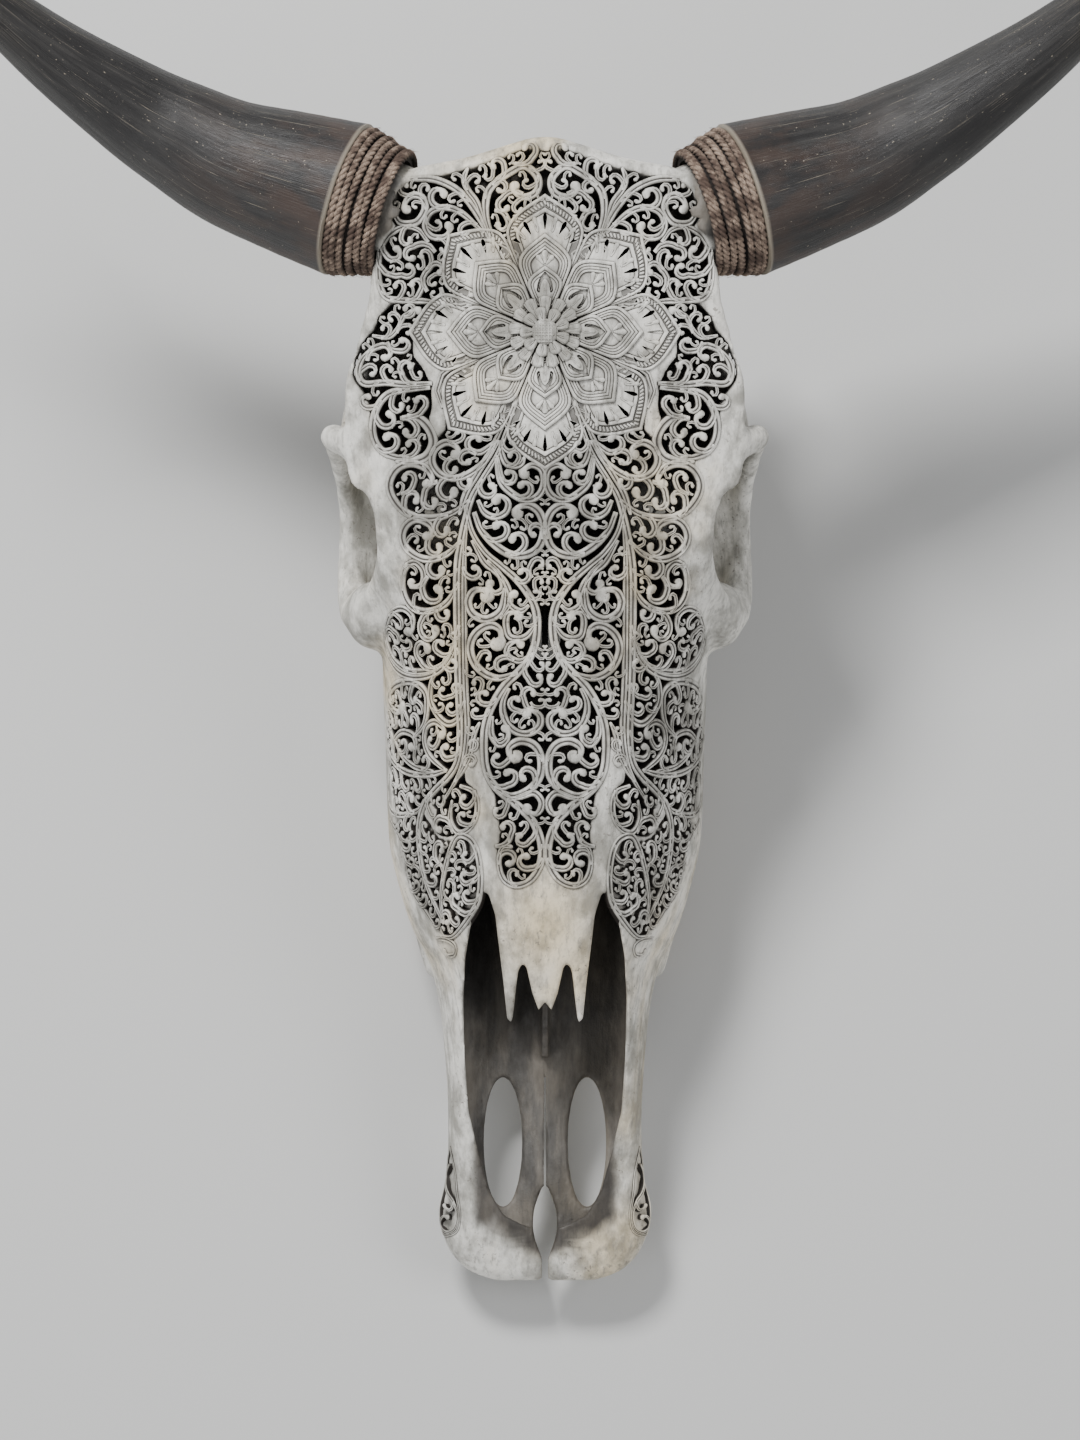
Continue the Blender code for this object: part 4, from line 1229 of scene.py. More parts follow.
STEMS = (
    (3.2, 0, (490, 240, 478, 215, 464, 196, 450, 185, 430, 178, 405, 179)),
    (3.4, 2.3, (493, 240, 486, 215, 487, 195, 495, 183, 510, 172, 525, 166, 538, 178, 536, 192, 524, 197,
        513, 190, 518, 182)),
    (2.8, 0, (488, 238, 478, 205, 468, 190, 464, 178, 468, 167)),
    (3.3, 2.1, (392, 210, 400, 222, 416, 222, 425, 209, 422, 197, 411, 195, 404, 205, 410, 212)),
    (2.9, 2.0, (484, 233, 462, 213, 445, 207, 430, 212, 425, 225, 431, 236, 444, 237, 450, 229,
        446, 222)),
    (3.0, 0, (428, 242, 419, 230, 405, 226, 390, 233, 381, 245, 378, 262, 379, 283, 386, 297, 402, 300,
        425, 301, 445, 304)),
    (3.0, 0, (432, 383, 405, 384, 385, 382, 364, 383, 358, 372, 361, 360, 369, 350)),
    (3.3, 0, (430, 387, 395, 391, 381, 400, 373, 418, 373, 436, 381, 450, 396, 457, 410, 457)),
    (4.2, 0, (402, 418, 416, 417, 428, 427, 433, 442, 426, 456, 411, 461, 395, 461)),
    (3.4, 0, (508, 428, 497, 455, 483, 478, 472, 497, 466, 517, 461, 540, 457, 570, 457, 620, 458, 680,
        460, 735, 457, 762, 448, 777, 436, 789, 426, 801, 420, 816, 418, 832, 419, 850, 422, 870,
        428, 890, 436, 908, 444, 925)),
    (3.0, 0, (503, 425, 490, 452, 477, 474, 466, 493, 459, 515)),
    (2.8, 0, (466, 525, 464, 560, 464, 620, 465, 680, 467, 730, 463, 762, 455, 782, 444, 800)),
    (3.3, 2.3, (499, 440, 486, 460, 470, 473, 455, 478, 440, 474, 432, 462, 435, 449, 447, 442, 458, 449,
        452, 458)),
    (2.8, 1.9, (497, 440, 481, 452, 469, 449, 468, 440, 477, 436, 481, 442)),
    (3.6, 2.4, (470, 500, 450, 514, 425, 518, 405, 512, 392, 497, 389, 482, 397, 468, 412, 463, 427, 469,
        432, 481, 422, 485)),
    (3.4, 2.2, (462, 540, 445, 555, 425, 559, 408, 550, 402, 537, 406, 525, 417, 519, 430, 525, 431, 535,
        422, 536)),
    (3.2, 0, (459, 582, 447, 602, 430, 611, 413, 608, 404, 595, 402, 576, 407, 562)),
    (3.0, 2.0, (403, 590, 404, 570, 414, 562, 423, 571, 422, 584, 412, 586, 411, 578)),
    (3.2, 0, (459, 625, 452, 654, 436, 672, 415, 677, 397, 670, 386, 650, 384, 628)),
    (3.0, 2.3, (457, 636, 445, 662, 425, 671, 405, 669, 391, 655, 385, 635, 389, 616, 400, 608, 411, 615,
        412, 630, 404, 631)),
    (3.2, 0, (436, 672, 431, 682, 430, 700, 437, 715, 448, 724, 459, 718, 465, 700)),
    (3.6, 3.0, (414, 737, 424, 724, 427, 705, 424, 690, 410, 681, 393, 686, 388, 700, 396, 712,
        405, 704)),
    (3.0, 2.0, (393, 760, 393, 742, 401, 732, 413, 736, 415, 748, 408, 746)),
    (3.0, 2.1, (447, 772, 430, 757, 424, 742, 426, 727, 435, 722, 444, 730, 439, 738)),
    (3.0, 0, (385, 735, 388, 752, 396, 766, 410, 774, 430, 775, 448, 770)),
    (2.6, 0, (394, 740, 401, 755, 414, 767, 434, 772)),
    (3.0, 0, (424, 800, 417, 811, 401, 816, 390, 811, 387, 795, 388, 775)),
    (3.2, 2.4, (496, 458, 500, 480, 510, 492, 525, 500, 538, 496, 544, 484, 542, 470, 532, 465, 523, 471,
        528, 478)),
    (2.8, 0, (500, 440, 502, 455, 508, 465, 520, 465, 525, 456)),
    (2.8, 0, (497, 455, 499, 470, 504, 482, 514, 483)),
    (3.0, 2.3, (478, 500, 484, 512, 495, 517, 506, 512, 508, 502, 500, 496, 493, 504)),
    (3.6, 2.6, (474, 512, 481, 530, 495, 545, 512, 555, 529, 554, 540, 545, 544, 528, 539, 512, 528, 505,
        517, 509, 520, 519)),
    (2.8, 2.0, (487, 560, 499, 574, 503, 588, 495, 593, 489, 586, 493, 580)),
    (3.6, 3.2, (505, 588, 501, 610, 487, 619, 473, 614, 468, 601, 475, 590, 488, 592, 483, 602)),
    (3.6, 0, (465, 505, 472, 532, 485, 552, 500, 565, 515, 578, 526, 591, 534, 605, 537, 620, 536, 640,
        530, 657, 520, 670, 505, 685, 495, 700, 488, 715, 484, 735, 485, 765, 492, 783, 505, 796,
        520, 808, 533, 822, 541, 842, 541, 862, 532, 879, 517, 886, 504, 880, 499, 864, 502, 848,
        513, 847)),
    (2.8, 0, (472, 540, 484, 562, 498, 574, 507, 586, 510, 602, 500, 619)),
    (2.8, 2.0, (529, 605, 521, 611, 511, 606, 510, 597, 518, 592)),
    (3.0, 2.2, (536, 624, 525, 637, 510, 637, 506, 625, 508, 614, 517, 613, 520, 621)),
    (2.8, 2.0, (533, 654, 520, 661, 508, 656, 508, 646, 517, 641, 523, 648)),
    (3.6, 3.2, (518, 673, 496, 678, 478, 668, 470, 650, 475, 634, 489, 625, 500, 630, 500, 642,
        490, 646)),
    (3.2, 2.4, (509, 688, 503, 702, 504, 717, 513, 730, 527, 734, 539, 727, 540, 716, 530, 710,
        524, 718)),
    (3.0, 2.2, (492, 716, 491, 734, 499, 745, 507, 740, 508, 730, 501, 727)),
    (3.6, 2.8, (494, 787, 511, 796, 529, 790, 540, 776, 541, 758, 534, 745, 520, 741, 509, 748, 512, 758,
        522, 753)),
    (3.0, 2.4, (507, 800, 520, 797, 534, 793, 542, 803, 537, 814, 527, 811, 529, 804)),
    (2.8, 0, (460, 786, 474, 793, 477, 812, 470, 828, 458, 833, 450, 820, 452, 800)),
    (3.0, 0, (444, 925, 441, 900, 446, 865, 456, 838, 468, 838, 476, 849, 480, 870, 480, 890, 476, 906,
        464, 925, 452, 938, 440, 937)),
    (2.4, 0, (455, 782, 462, 772, 470, 756, 474, 735, 480, 722)),
    (2.4, 0, (389, 820, 398, 838, 403, 856, 406, 876, 413, 896, 424, 912, 436, 930)),
    (2.2, 1.6, (436, 940, 447, 941, 455, 947, 454, 956, 446, 956, 444, 950)),
    (2.2, 1.8, (372, 335, 388, 337, 398, 328, 404, 316, 416, 309, 420, 314)),
)

HOOKS = (
    528, 150, 9, 497, 166, 8, 505, 205, 8, 500, 187, 7, 475, 180, 6, 440, 197, 10, 405, 188, 7, 425, 189, 6,
    466, 230, 7, 407, 238, 7, 393, 251, 9, 412, 254, 8, 407, 269, 8, 415, 286, 8, 398, 287, 7, 408, 310, 7,
    393, 318, 6, 385, 329, 6, 383, 353, 9, 370, 371, 7, 388, 371, 7, 407, 368, 8, 368, 400, 8, 398, 404, 8,
    419, 403, 8, 386, 417, 10, 409, 429, 9, 388, 441, 10, 411, 446, 8, 452, 467, 8, 467, 458, 8,
    466, 481, 8, 412, 500, 9, 431, 500, 9, 449, 489, 11, 435, 546, 9, 443, 528, 9, 437, 568, 10,
    433, 591, 11, 418, 598, 5, 443, 613, 8, 430, 628, 12, 424, 652, 11, 395, 638, 7, 404, 655, 7,
    455, 635, 5, 455, 650, 5, 451, 663, 8, 444, 692, 7, 457, 687, 6, 452, 708, 7, 392, 697, 6, 393, 720, 8,
    447, 751, 9, 425, 762, 7, 398, 781, 8, 417, 785, 8, 410, 802, 9, 395, 803, 6, 510, 445, 7, 513, 457, 7,
    508, 476, 8, 523, 489, 9, 488, 488, 9, 498, 530, 10, 516, 542, 10, 536, 532, 8, 467, 550, 5,
    473, 571, 8, 522, 575, 8, 535, 594, 6, 503, 665, 8, 485, 697, 8, 536, 678, 8, 530, 695, 8, 517, 703, 8,
    471, 730, 5, 472, 745, 6, 470, 762, 7, 499, 759, 8, 508, 777, 9, 527, 777, 9, 507, 860, 9, 527, 861, 9,
    523, 838, 8, 506, 829, 8, 499, 811, 7, 466, 800, 8, 463, 818, 7, 440, 801, 6, 433, 812, 6, 440, 826, 9,
    424, 838, 5, 424, 850, 5, 467, 856, 7, 466, 877, 8, 452, 858, 6, 452, 874, 5, 457, 901, 9, 446, 920, 8,
    432, 880, 7, 433, 864, 6, 407, 825, 7, 396, 829, 5, 406, 845, 7, 411, 862, 6, 408, 874, 5, 416, 886, 6,
    424, 900, 6, 432, 912, 6,
)

MUZZLE_SCROLLS = (
    (1.8, 1.3, (449, 1168, 444, 1180, 447, 1196, 453, 1206, 449, 1214, 443, 1208)),
    (1.8, 1.5, (453, 1205, 457, 1218, 454, 1232, 446, 1236, 440, 1229, 443, 1220, 449, 1222)),
    (1.6, 0, (450, 1150, 441, 1172, 437, 1200, 436, 1222, 443, 1238, 455, 1236, 459, 1218, 456, 1196,
        454, 1172, 450, 1150)),
)


# A rib's section as share of its half width, height (None is the foot) and painted shade, partly soiling;
# this one has no groove

PLAIN_SECTION = ((-0.8, None, 1.0), (-1.0, -0.5, 0.8), (-0.6, 0.15, 0.1), (0.0, 0.3, 0.0), (0.6, 0.15, 0.1),
                 (1.0, -0.5, 0.8), (0.8, None, 1.0))


@dataclass(frozen=True)
class Rib:
    """A carved stroke: a grooved rib of bone along a flat course, which may end in a bulb."""

    course: np.ndarray
    width: float
    bulb: float = 0.0
    root: float = 0.5
    lift: float = 0.0
    foot: float = -4.6
    spacing: float = 1.3
    # The third column of a section paints shade, partly soiling, on the rib's foot, sides and groove.
    profile: tuple = ((-0.90, None, 1.0), (-1.0, -1.25, 1.0), (-0.90, -0.30, 0.42), (-0.52, 0.30, 0.0),
                      (0.08, -0.24, 0.72), (0.56, 0.26, 0.0), (0.92, -0.34, 0.42), (1.0, -1.25, 1.0),
                      (0.90, None, 1.0))

    def stations(self) -> tuple[np.ndarray, np.ndarray, float]:
        """Gives the places along the rib, how far each is from its root, and its length."""
        reach = reach_along(self.course)
        length = reach[-1]
        end = max(self.bulb, self.width / 2)
        count = max(int((length - end) / self.spacing), 4)
        at = np.concatenate([np.linspace(0.0, length - end, count), length - end + end * np.sin(
            np.radians((24, 48, 68, 84)))])
        return np.column_stack([np.interp(at, reach, column) for column in self.course.T]), at, length

    def half_widths(self, at: np.ndarray, length: float) -> np.ndarray:
        """Gives half of the rib's width at each distance from its root.

        Args:
            at: the distances.
            length: the rib's length.

        Returns:
            Half of the width at each distance.
        """
        stem = self.width / 2 * (self.root + (1 - self.root) * smoothstep(0.0, 0.28 * length, at))
        end = max(self.bulb, self.width / 2)
        left = length - at
        if self.bulb:
            stem = stem * (1 - 0.28 * smoothstep(4.5 * self.bulb, 2.2 * self.bulb, left))
        else:
            stem = stem * (1 - 0.45 * smoothstep(0.2 * length, 0.0, left))
            end = stem
        round_end = np.sqrt(np.maximum(end**2 - np.maximum(end - left, 0) ** 2, 0.0))
        if self.bulb:
            ball = np.sqrt(np.maximum(end**2 - (end - left) ** 2, 0.0))
            return np.where(left < end, ball, np.maximum(stem, ball))
        return np.minimum(stem, round_end)

    def build(self) -> BMesh:
        """Sweeps the grooved section along the course."""
        places, at, length = self.stations()
        halves = np.maximum(self.half_widths(at, length), 0.06)
        ahead = unit(np.gradient(places, axis=0))
        across = np.column_stack([-ahead[:, 1], ahead[:, 0]])
        fade = (2.0 * self.bulb, 3.6 * self.bulb) if self.bulb else (0.5, 3.0)
        opened = (smoothstep(0.0, 2.5, at) * smoothstep(*fade, length - at))[:, None]
        share, rise, soiling_and_shade = np.array(self.profile, dtype=float).T
        groove = (share != 0) & (np.abs(share) < 0.3)
        height = np.where(groove, 0.42 * (1 - opened) + rise * opened, rise)
        height = np.where(np.isnan(rise), self.foot, height * np.minimum(halves / 1.4, 1.25)[:, None])
        flat = places[:, None] + across[:, None] * share[:, None] * halves[:, None, None]
        # The foot, sides and groove are painted darker as shade, partly soiling; the groove's shade fades
        # near the ends.
        return rolled(np.dstack([flat, self.lift + height]), dirt=np.where(groove, soiling_and_shade * opened, soiling_and_shade))

    def samples(self) -> np.ndarray:
        """Gives rows of place, half width and direction along the rib."""
        places, at, length = self.stations()
        return np.column_stack([places, self.half_widths(at, length), unit(np.gradient(places, axis=0))])


@dataclass(frozen=True)
class Hook:
    """A small scroll: it leaves its stem along the way the stem grows, curls in and ends in a bulb."""

    centre: np.ndarray
    radius: float
    stem: np.ndarray
    turn: int
    lead: float = -0.55
    sweep: float = 5.3

    def rib(self, lift: float) -> Rib:
        """Gives the hook as a rib.

        Args:
            lift: how high the rib stands off the bone.

        Returns:
            The rib.
        """
        width = min(max(0.62 * self.radius, 1.4), 3.5)
        ring = self.radius - width / 2
        away = max(float(np.hypot(*self.stem)), ring)
        turned = np.linspace(self.lead, self.sweep, 18)
        angle = math.atan2(self.stem[1], self.stem[0]) + self.turn * turned
        line = np.minimum(away / np.cos(np.clip(turned, -0.9, 0.9)), away + 0.9 * self.radius)
        curl = ring * (1 - 0.70 * smoothstep(2.5, self.sweep, turned))
        share = smoothstep(-0.35, 0.85, turned)
        reach = line * (1 - share) + curl * share
        course = self.centre + np.column_stack([np.cos(angle), np.sin(angle)]) * reach[:, None]
        return Rib(course, width, min(max(0.37 * self.radius, 0.85), 2.6), 0.7, lift, spacing=1.3)


class Openwork:
    """The left half of the pierced scrollwork, drawn flat; the right half is its mirror image."""

    cell = 0.6
    widest_gap = 1.5
    largest_hook = 4.6
    overlap = 0.5
    stem_growth = 1.22
    hook_growth = 1.32
    lift = 0.55
    rib_reach = 12.0
    most_fillers = 1500
    across_span = (-118.0, 0.0)
    along_span = (150.0, 552.0)
    parts = (("lower", 0.0, 300.0), ("upper", 300.0, 600.0))

    def __init__(self, skin: FaceSkin, lotus: np.ndarray) -> None:
        """Lays out the strokes that were traced, and fills what is still open with more scrolls.

        Args:
            skin: the surface of the face.
            lotus: the outline of the lotus, which is kept free.
        """
        self.skin = skin
        self.ribs: list[Rib] = []
        self.trails: list[np.ndarray] = []
        self.open_ground(lotus)
        for number, (width, bulb, pixels) in enumerate(STEMS):
            course = evenly(spline(skin.traced(pixels), 8), 0.8)
            self.add(Rib(course, width * self.stem_growth, bulb * self.stem_growth, 0.6,
                         self.lift - 0.1 * (number % 3)))
        stems = np.vstack(self.trails)
        for x, y, radius in np.reshape(HOOKS, (-1, 3)):
            centre = skin.traced((x, y))[0]
            self.add_hook(centre, radius * TRACING.millimetres * self.hook_growth, stems)
        self.fill()

    def open_ground(self, lotus: np.ndarray) -> None:
        """Marks the cells of the left half that are cut away, with their distance from solid bone.

        Args:
            lotus: the outline of the lotus.
        """
        outlines = [window.outlines(self.skin)[0] for window in WINDOWS]
        spans = [np.arange(*span, self.cell) for span in (self.across_span, self.along_span)]
        self.across, self.along = np.meshgrid(*spans)
        self.room = np.full(self.across.shape, -1.0)
        for outline in outlines:
            inside = within(outline, self.across, self.along)
            rim = np.minimum(self.from_line(outline), -self.across + 0.6)
            self.room = np.where(inside, np.maximum(self.room, rim), self.room)
        covered = within(lotus, self.across, self.along)
        self.room = np.where(covered, -1.0, np.minimum(self.room, self.from_line(lotus)))

    def from_line(self, outline: np.ndarray) -> np.ndarray:
        """Gives the distance of every cell from a closed outline."""
        away = np.full(self.across.shape, 1e3)
        for (ax, ay), (bx, by) in zip(outline, np.roll(outline, -1, axis=0)):
            x, y, dx, dy = self.across - ax, self.along - ay, bx - ax, by - ay
            share = np.clip((x * dx + y * dy) / max(dx * dx + dy * dy, TINY), 0.0, 1.0)
            away = np.minimum(away, np.hypot(x - share * dx, y - share * dy))
        return away

    def add(self, rib: Rib) -> None:
        """Adds a rib and takes its room."""
        self.ribs.append(rib)
        samples = rib.samples()
        self.trails.append(samples)
        reach = int(self.rib_reach / self.cell)
        for x, y, half in samples[:, :3]:
            j = int((x - self.across[0, 0]) / self.cell)
            i = int((y - self.along[0, 0]) / self.cell)
            block = tuple(slice(max(middle - reach, 0), max(middle + reach, 0)) for middle in (i, j))
            distance = np.hypot(self.across[block] - x, self.along[block] - y) - half
            self.room[block] = np.minimum(self.room[block], distance)

    def add_hook(self, centre: np.ndarray, radius: float, stems: np.ndarray) -> None:
        """Adds a hook that leaves the nearest stem along the way that the stem grows.

        Args:
            centre: its middle.
            radius: its radius.
            stems: samples of the ribs that it may leave.
        """
        offset = stems[:, :2] - centre
        nearest = int(np.argmin(np.hypot(*offset.T) - stems[:, 2]))
        grows = stems[nearest, 3:5]
        turn = 1 if -offset[nearest, 1] * grows[0] + offset[nearest, 0] * grows[1] >= 0 else -1
        lift = self.lift - 0.15 + 0.1 * (len(self.ribs) % 3)
        self.add(Hook(centre, radius, offset[nearest], turn).rib(lift))

    def fill(self) -> None:
        """Fills the widest gap with a hook until no gap is wide."""
        for _ in range(self.most_fillers):
            i, j = np.unravel_index(int(np.argmax(self.room)), self.room.shape)
            gap = float(self.room[i, j])
            if gap < self.widest_gap:
                break
            centre = np.array([self.across[i, j], self.along[i, j]])
            radius = min(gap, self.largest_hook)
            i0, i1 = max(i - 1, 0), min(i + 1, self.room.shape[0] - 1)
            j0, j1 = max(j - 1, 0), min(j + 1, self.room.shape[1] - 1)
            fall = np.array([self.room[i, j0] - self.room[i, j1], self.room[i0, j] - self.room[i1, j]])
            if np.hypot(*fall) > 1e-6 and gap > radius:
                centre = centre + fall / np.hypot(*fall) * (gap - radius)
            self.add_hook(centre, radius + self.overlap, np.vstack(self.trails))
        log.info("openwork: %d strokes on each side", len(self.ribs))

    def build(self, finish: Material) -> None:
        """Makes the scrollwork of both sides.

        Args:
            finish: the bone's material.
        """
        panels = []
        for width, bulb, pixels in MUZZLE_SCROLLS:
            course = evenly(spline(self.skin.traced(pixels), 6), 0.8)
            panels.append(Rib(course, width, bulb, 0.8, 0.45, foot=-2.6, spacing=1.2))
        for part, low, high in self.parts:
            chosen = [rib for rib in self.ribs + panels if low <= rib.course[:, 1].mean() < high]
            flat = gathered([rib.build() for rib in chosen])
            for side in Side:
                half = moved(flat.copy(), Matrix.Diagonal((-side.value, 1, 1, 1)))
                dress_carving(self.skin, to_object(f"scrollwork_{part}_{side.word}", half, 75), finish)
            flat.free()


def within(outline: np.ndarray, x: np.ndarray, y: np.ndarray) -> np.ndarray:
    """Tells which points lie inside an outline.

    Args:
        outline: the outline's points.
        x: the points' x.
        y: their y.

    Returns:
        Whether each of them lies inside.
    """
    inside = np.zeros(x.shape, dtype=bool)
    for (ax, ay), (bx, by) in zip(outline, np.roll(outline, -1, axis=0)):
        crosses = (ay > y) != (by > y)
        if ay != by:
            inside ^= crosses & (x < (bx - ax) * (y - ay) / (by - ay) + ax)
    return inside


# The lotus

def swung(points: np.ndarray, turn: float) -> np.ndarray:
    """Turns flat points about the origin."""
    c, s = math.cos(turn), math.sin(turn)
    return points @ np.array([[c, s], [-s, c]])


# Petal shapes: shares of the length, from root to tip, and of the half width there

ROUND_PETAL = ((0, 0.62), (0.3, 0.82), (0.55, 0.98), (0.75, 0.98), (0.9, 0.72), (0.98, 0.3), (1, 0))
OGEE_PETAL = ((0, 0.55), (0.22, 0.82), (0.45, 1), (0.62, 0.93), (0.76, 0.70), (0.87, 0.40), (0.95, 0.15),
              (1, 0))
WIDE_PETAL = ((0, 1), (0.3, 1), (0.5, 1), (0.64, 0.90), (0.77, 0.68), (0.88, 0.38), (0.95, 0.15), (1, 0))


@dataclass(frozen=True)
class PetalTier:
    """One ring of petals: where a petal starts and ends, its half width, its lift and its carved rims.

    The bands are rows of how far a line lies inside the outline, how high it lies and how dark it is painted,
    as shade in the rim grooves, partly soiling.
    """

    name: str
    count: int
    root: float
    tip: float
    half_width: float
    lift: float
    shares: tuple
    bands: tuple
    foot: float = -5.6
    first_turn: float = 0.0
    tip_pull: float = 1.5
    steps: int = 5

    def outline(self, inset: float = 0.0) -> np.ndarray:
        """Gives a line inside the petal that points to the poll, from its root round its tip.

        Args:
            inset: how far the line lies inside the petal's edge.

        Returns:
            The points of the line.
        """
        root, tip = self.root + inset, self.tip - self.tip_pull * inset
        width = max(self.half_width - inset, 0.3)
        half = spline(np.array([(wide * width, root + (tip - root) * share) for share, wide in self.shares]),
                      self.steps)
        sector = half[:, 1] * math.tan(math.pi / self.count) + 0.3 - inset * 1.08
        half[:, 0] = np.clip(-np.logaddexp(-half[:, 0] * 0.8, -sector * 0.8) / 0.8, 0.05, None)
        half[-1, 0] = 0.0
        return np.vstack([half, (half * (-1, 1))[-2::-1]])

    def build(self) -> Object:
        """Makes the petal flat, rolled up from its foot over its rims to its middle."""
        bands = np.array([(0.0, self.foot - self.lift, 1.0), *self.bands])
        rings = [[(x, y, self.lift + rise) for x, y in self.outline(inset)] for inset, rise, _ in bands]
        mesh = rolled(np.array(rings), dirt=bands[:, 2:] * np.ones(len(rings[0])))
        bmesh.ops.triangulate(mesh, faces=[face for face in mesh.faces if len(face.verts) > 4])
        return to_object(self.name, mesh)

    def turns(self) -> list[float]:
        """Gives the turn of each petal from the one that points to the poll."""
        return [self.first_turn + 2 * math.pi * number / self.count for number in range(self.count)]


@dataclass
class Lotus:
    """The lotus on the forehead: three tiers of pointed petals round a double rosette with a hatched boss."""

    centre: Point = (0.0, 457.5)
    outer: PetalTier = PetalTier("outer_petal", 8, 27.0, 66.5, 19.4, 0.7, WIDE_PETAL, (
        (0, -0.7, 0.9), (0.15, -0.1, 0.2), (0.6, 0.35, 0), (1.1, 0.25, 0), (1.5, -0.35, 0.7),
        (1.9, -0.45, 0.5), (4.1, -0.45, 0.5), (4.4, -0.3, 0.7), (4.7, 0.3, 0), (5.3, 0.4, 0),
        (5.8, 0.1, 0.2), (6.1, -0.4, 0.7), (6.5, -0.05, 0.2), (7.6, 0.05, 0), (10.0, 0.1, 0),
        (14.0, 0, 0)))
    middle: PetalTier = PetalTier("middle_petal", 8, 15.0, 47.6, 13.6, 1.75, OGEE_PETAL, (
        (0, -1.5, 1), (0.1, -0.5, 0.6), (0.35, 0.1, 0), (0.85, 0.45, 0), (1.45, 0.3, 0),
        (1.75, -0.35, 0.8), (2.1, 0.05, 0.1), (2.7, 0.1, 0), (3.0, -0.3, 0.7), (3.35, 0.1, 0.1),
        (3.9, 0.1, 0), (4.2, -0.3, 0.7), (4.6, 0.1, 0.1), (5.1, 0.1, 0.1), (5.4, -0.35, 0.7),
        (6.2, -0.35, 0.3), (9.0, -0.2, 0.1)))
    inner: PetalTier = PetalTier("inner_petal", 8, 12.0, 32.0, 9.0, 2.75, OGEE_PETAL, (
        (0, -1.8, 1), (0.1, -0.6, 0.6), (0.35, 0.05, 0), (0.85, 0.35, 0), (1.35, 0.2, 0),
        (1.65, -0.4, 0.8), (1.95, 0.05, 0.1), (2.5, 0.15, 0), (2.8, -0.3, 0.6), (3.1, 0.05, 0),
        (5.0, 0.1, 0)))
    rosette: PetalTier = PetalTier("rosette_petal", 13, 6.0, 17.6, 4.3, 3.7, ROUND_PETAL, (
        (0, -2.2, 1), (0.1, -0.9, 0.5), (0.5, -0.1, 0), (1.1, 0.2, 0), (1.8, 0.25, 0),
        (3.2, 0, 0.2)), tip_pull=1.0, steps=3)
    crown: PetalTier = PetalTier("crown_petal", 9, 3.0, 12.2, 4.0, 4.6, ROUND_PETAL, (
        (0, -1.8, 1), (0.1, -0.8, 0.5), (0.5, 0, 0), (1.1, 0.25, 0), (1.8, 0.2, 0),
        (3.0, -0.2, 0.3)), first_turn=0.2, tip_pull=1.0, steps=3)
    boss: float = 6.3
    bead_slant: float = 0.4905
    bead_reach: float = 1.1473
    boss_lift: float = 4.1
    boss_flat: float = 0.34
    fan: tuple = ((0.0, 14.2, 22.4, 1.05), (0.52, 13.6, 20.6, 1.1), (-0.52, 13.6, 20.6, 1.1),
                  (1.0, 14.0, 18.6, 0.95), (-1.0, 14.0, 18.6, 0.95))
    fan_pivot: Point = (0.0, 35.0)
    drop: tuple = ((0.0, 0.18), (0.35, 0.62), (0.72, 1.0), (0.93, 0.62), (1.0, 0.0))
    bow: tuple = ((0.0, 29.0), (2.1, 26.4), (3.5, 23.2), (3.9, 19.6), (2.5, 18.8), (2.0, 22.2), (1.1, 24.4),
                  (0.0, 25.6))

    def outline(self) -> np.ndarray:
        """Gives a line just inside the lotus's own outline, where it lies on the face."""
        petal = self.outer.outline(2.0)
        petal = petal[petal[:, 1] > 40.0]
        return np.vstack([swung(petal, -turn) for turn in self.outer.turns()])[::2] + self.centre

    def drop_slot(self, near: float, far: float, half_width: float, turn: float) -> Object:
        """Makes the cutter of a drop-shaped slot that fans out from a pivot on the petal's middle line."""
        half = [(wide * half_width, near + (far - near) * share) for share, wide in self.drop]
        drop = swung(np.array(half + [(-x, y) for x, y in half[-2::-1]]), turn)
        return upright("slot", drop + self.fan_pivot, -20, 20)

    def fan_slots(self) -> list[Object]:
        """Makes the slots of an outer petal, five of them fanned round the tip of the petal above it."""
        return [self.drop_slot(near, far, wide, turn) for turn, near, far, wide in self.fan]

    def bow_slot(self) -> Object:
        """Makes the pointed slot of an inner petal, which bends round a small leaf."""
        return upright("slot", mirrored(spline(self.bow, 3)), -20, 20)

    def band_beads(self) -> list[Rib]:
        """Draws the slanted beads that fill the band along an outer petal's edge."""
        made = []
        for place in evenly(self.outer.outline(3.0), 1.75):
            if place[1] > 44.0:
                inward = (0.0, 45.0) - place
                slant = swung(unit(inward), self.bead_slant) * self.bead_reach
                made.append(Rib(np.array([place - slant, place + slant]), 1.15, 0.0, 0.85,
                                self.outer.lift + 0.05, foot=-1.0, spacing=0.9))
        return made

    def leaves(self) -> list[Rib]:
        """Draws a middle petal's three leaves, the rays between the slots and an inner petal's leaf."""
        made = []
        for turn, length, width in ((0.0, 6.4, 3.2), (0.66, 5.2, 2.6), (-0.66, 5.2, 2.6)):
            course = swung(np.array([(0.0, 1.2), (0.0, 1.2 + length)]), turn) + (0.0, 31.6)
            made.append(Rib(course, width, width / 2 + 0.2, 0.3, self.middle.lift + 0.1, foot=-1.0,
                            spacing=1.0))
        for turn in (0.78, 0.26, -0.26, -0.78):
            course = swung(np.array([(0.0, 13.4), (0.0, 20.8)]), turn) + self.fan_pivot
            made.append(Rib(course, 2.4, 1.3, 0.45, self.outer.lift + 0.3, foot=-1.0, spacing=1.2))
        made.append(Rib(np.array([(0.0, 17.5), (0.0, 24.0)]), 2.0, 1.05, 0.6, self.inner.lift + 0.15,
                        foot=-2.0, spacing=1.0))
        return made

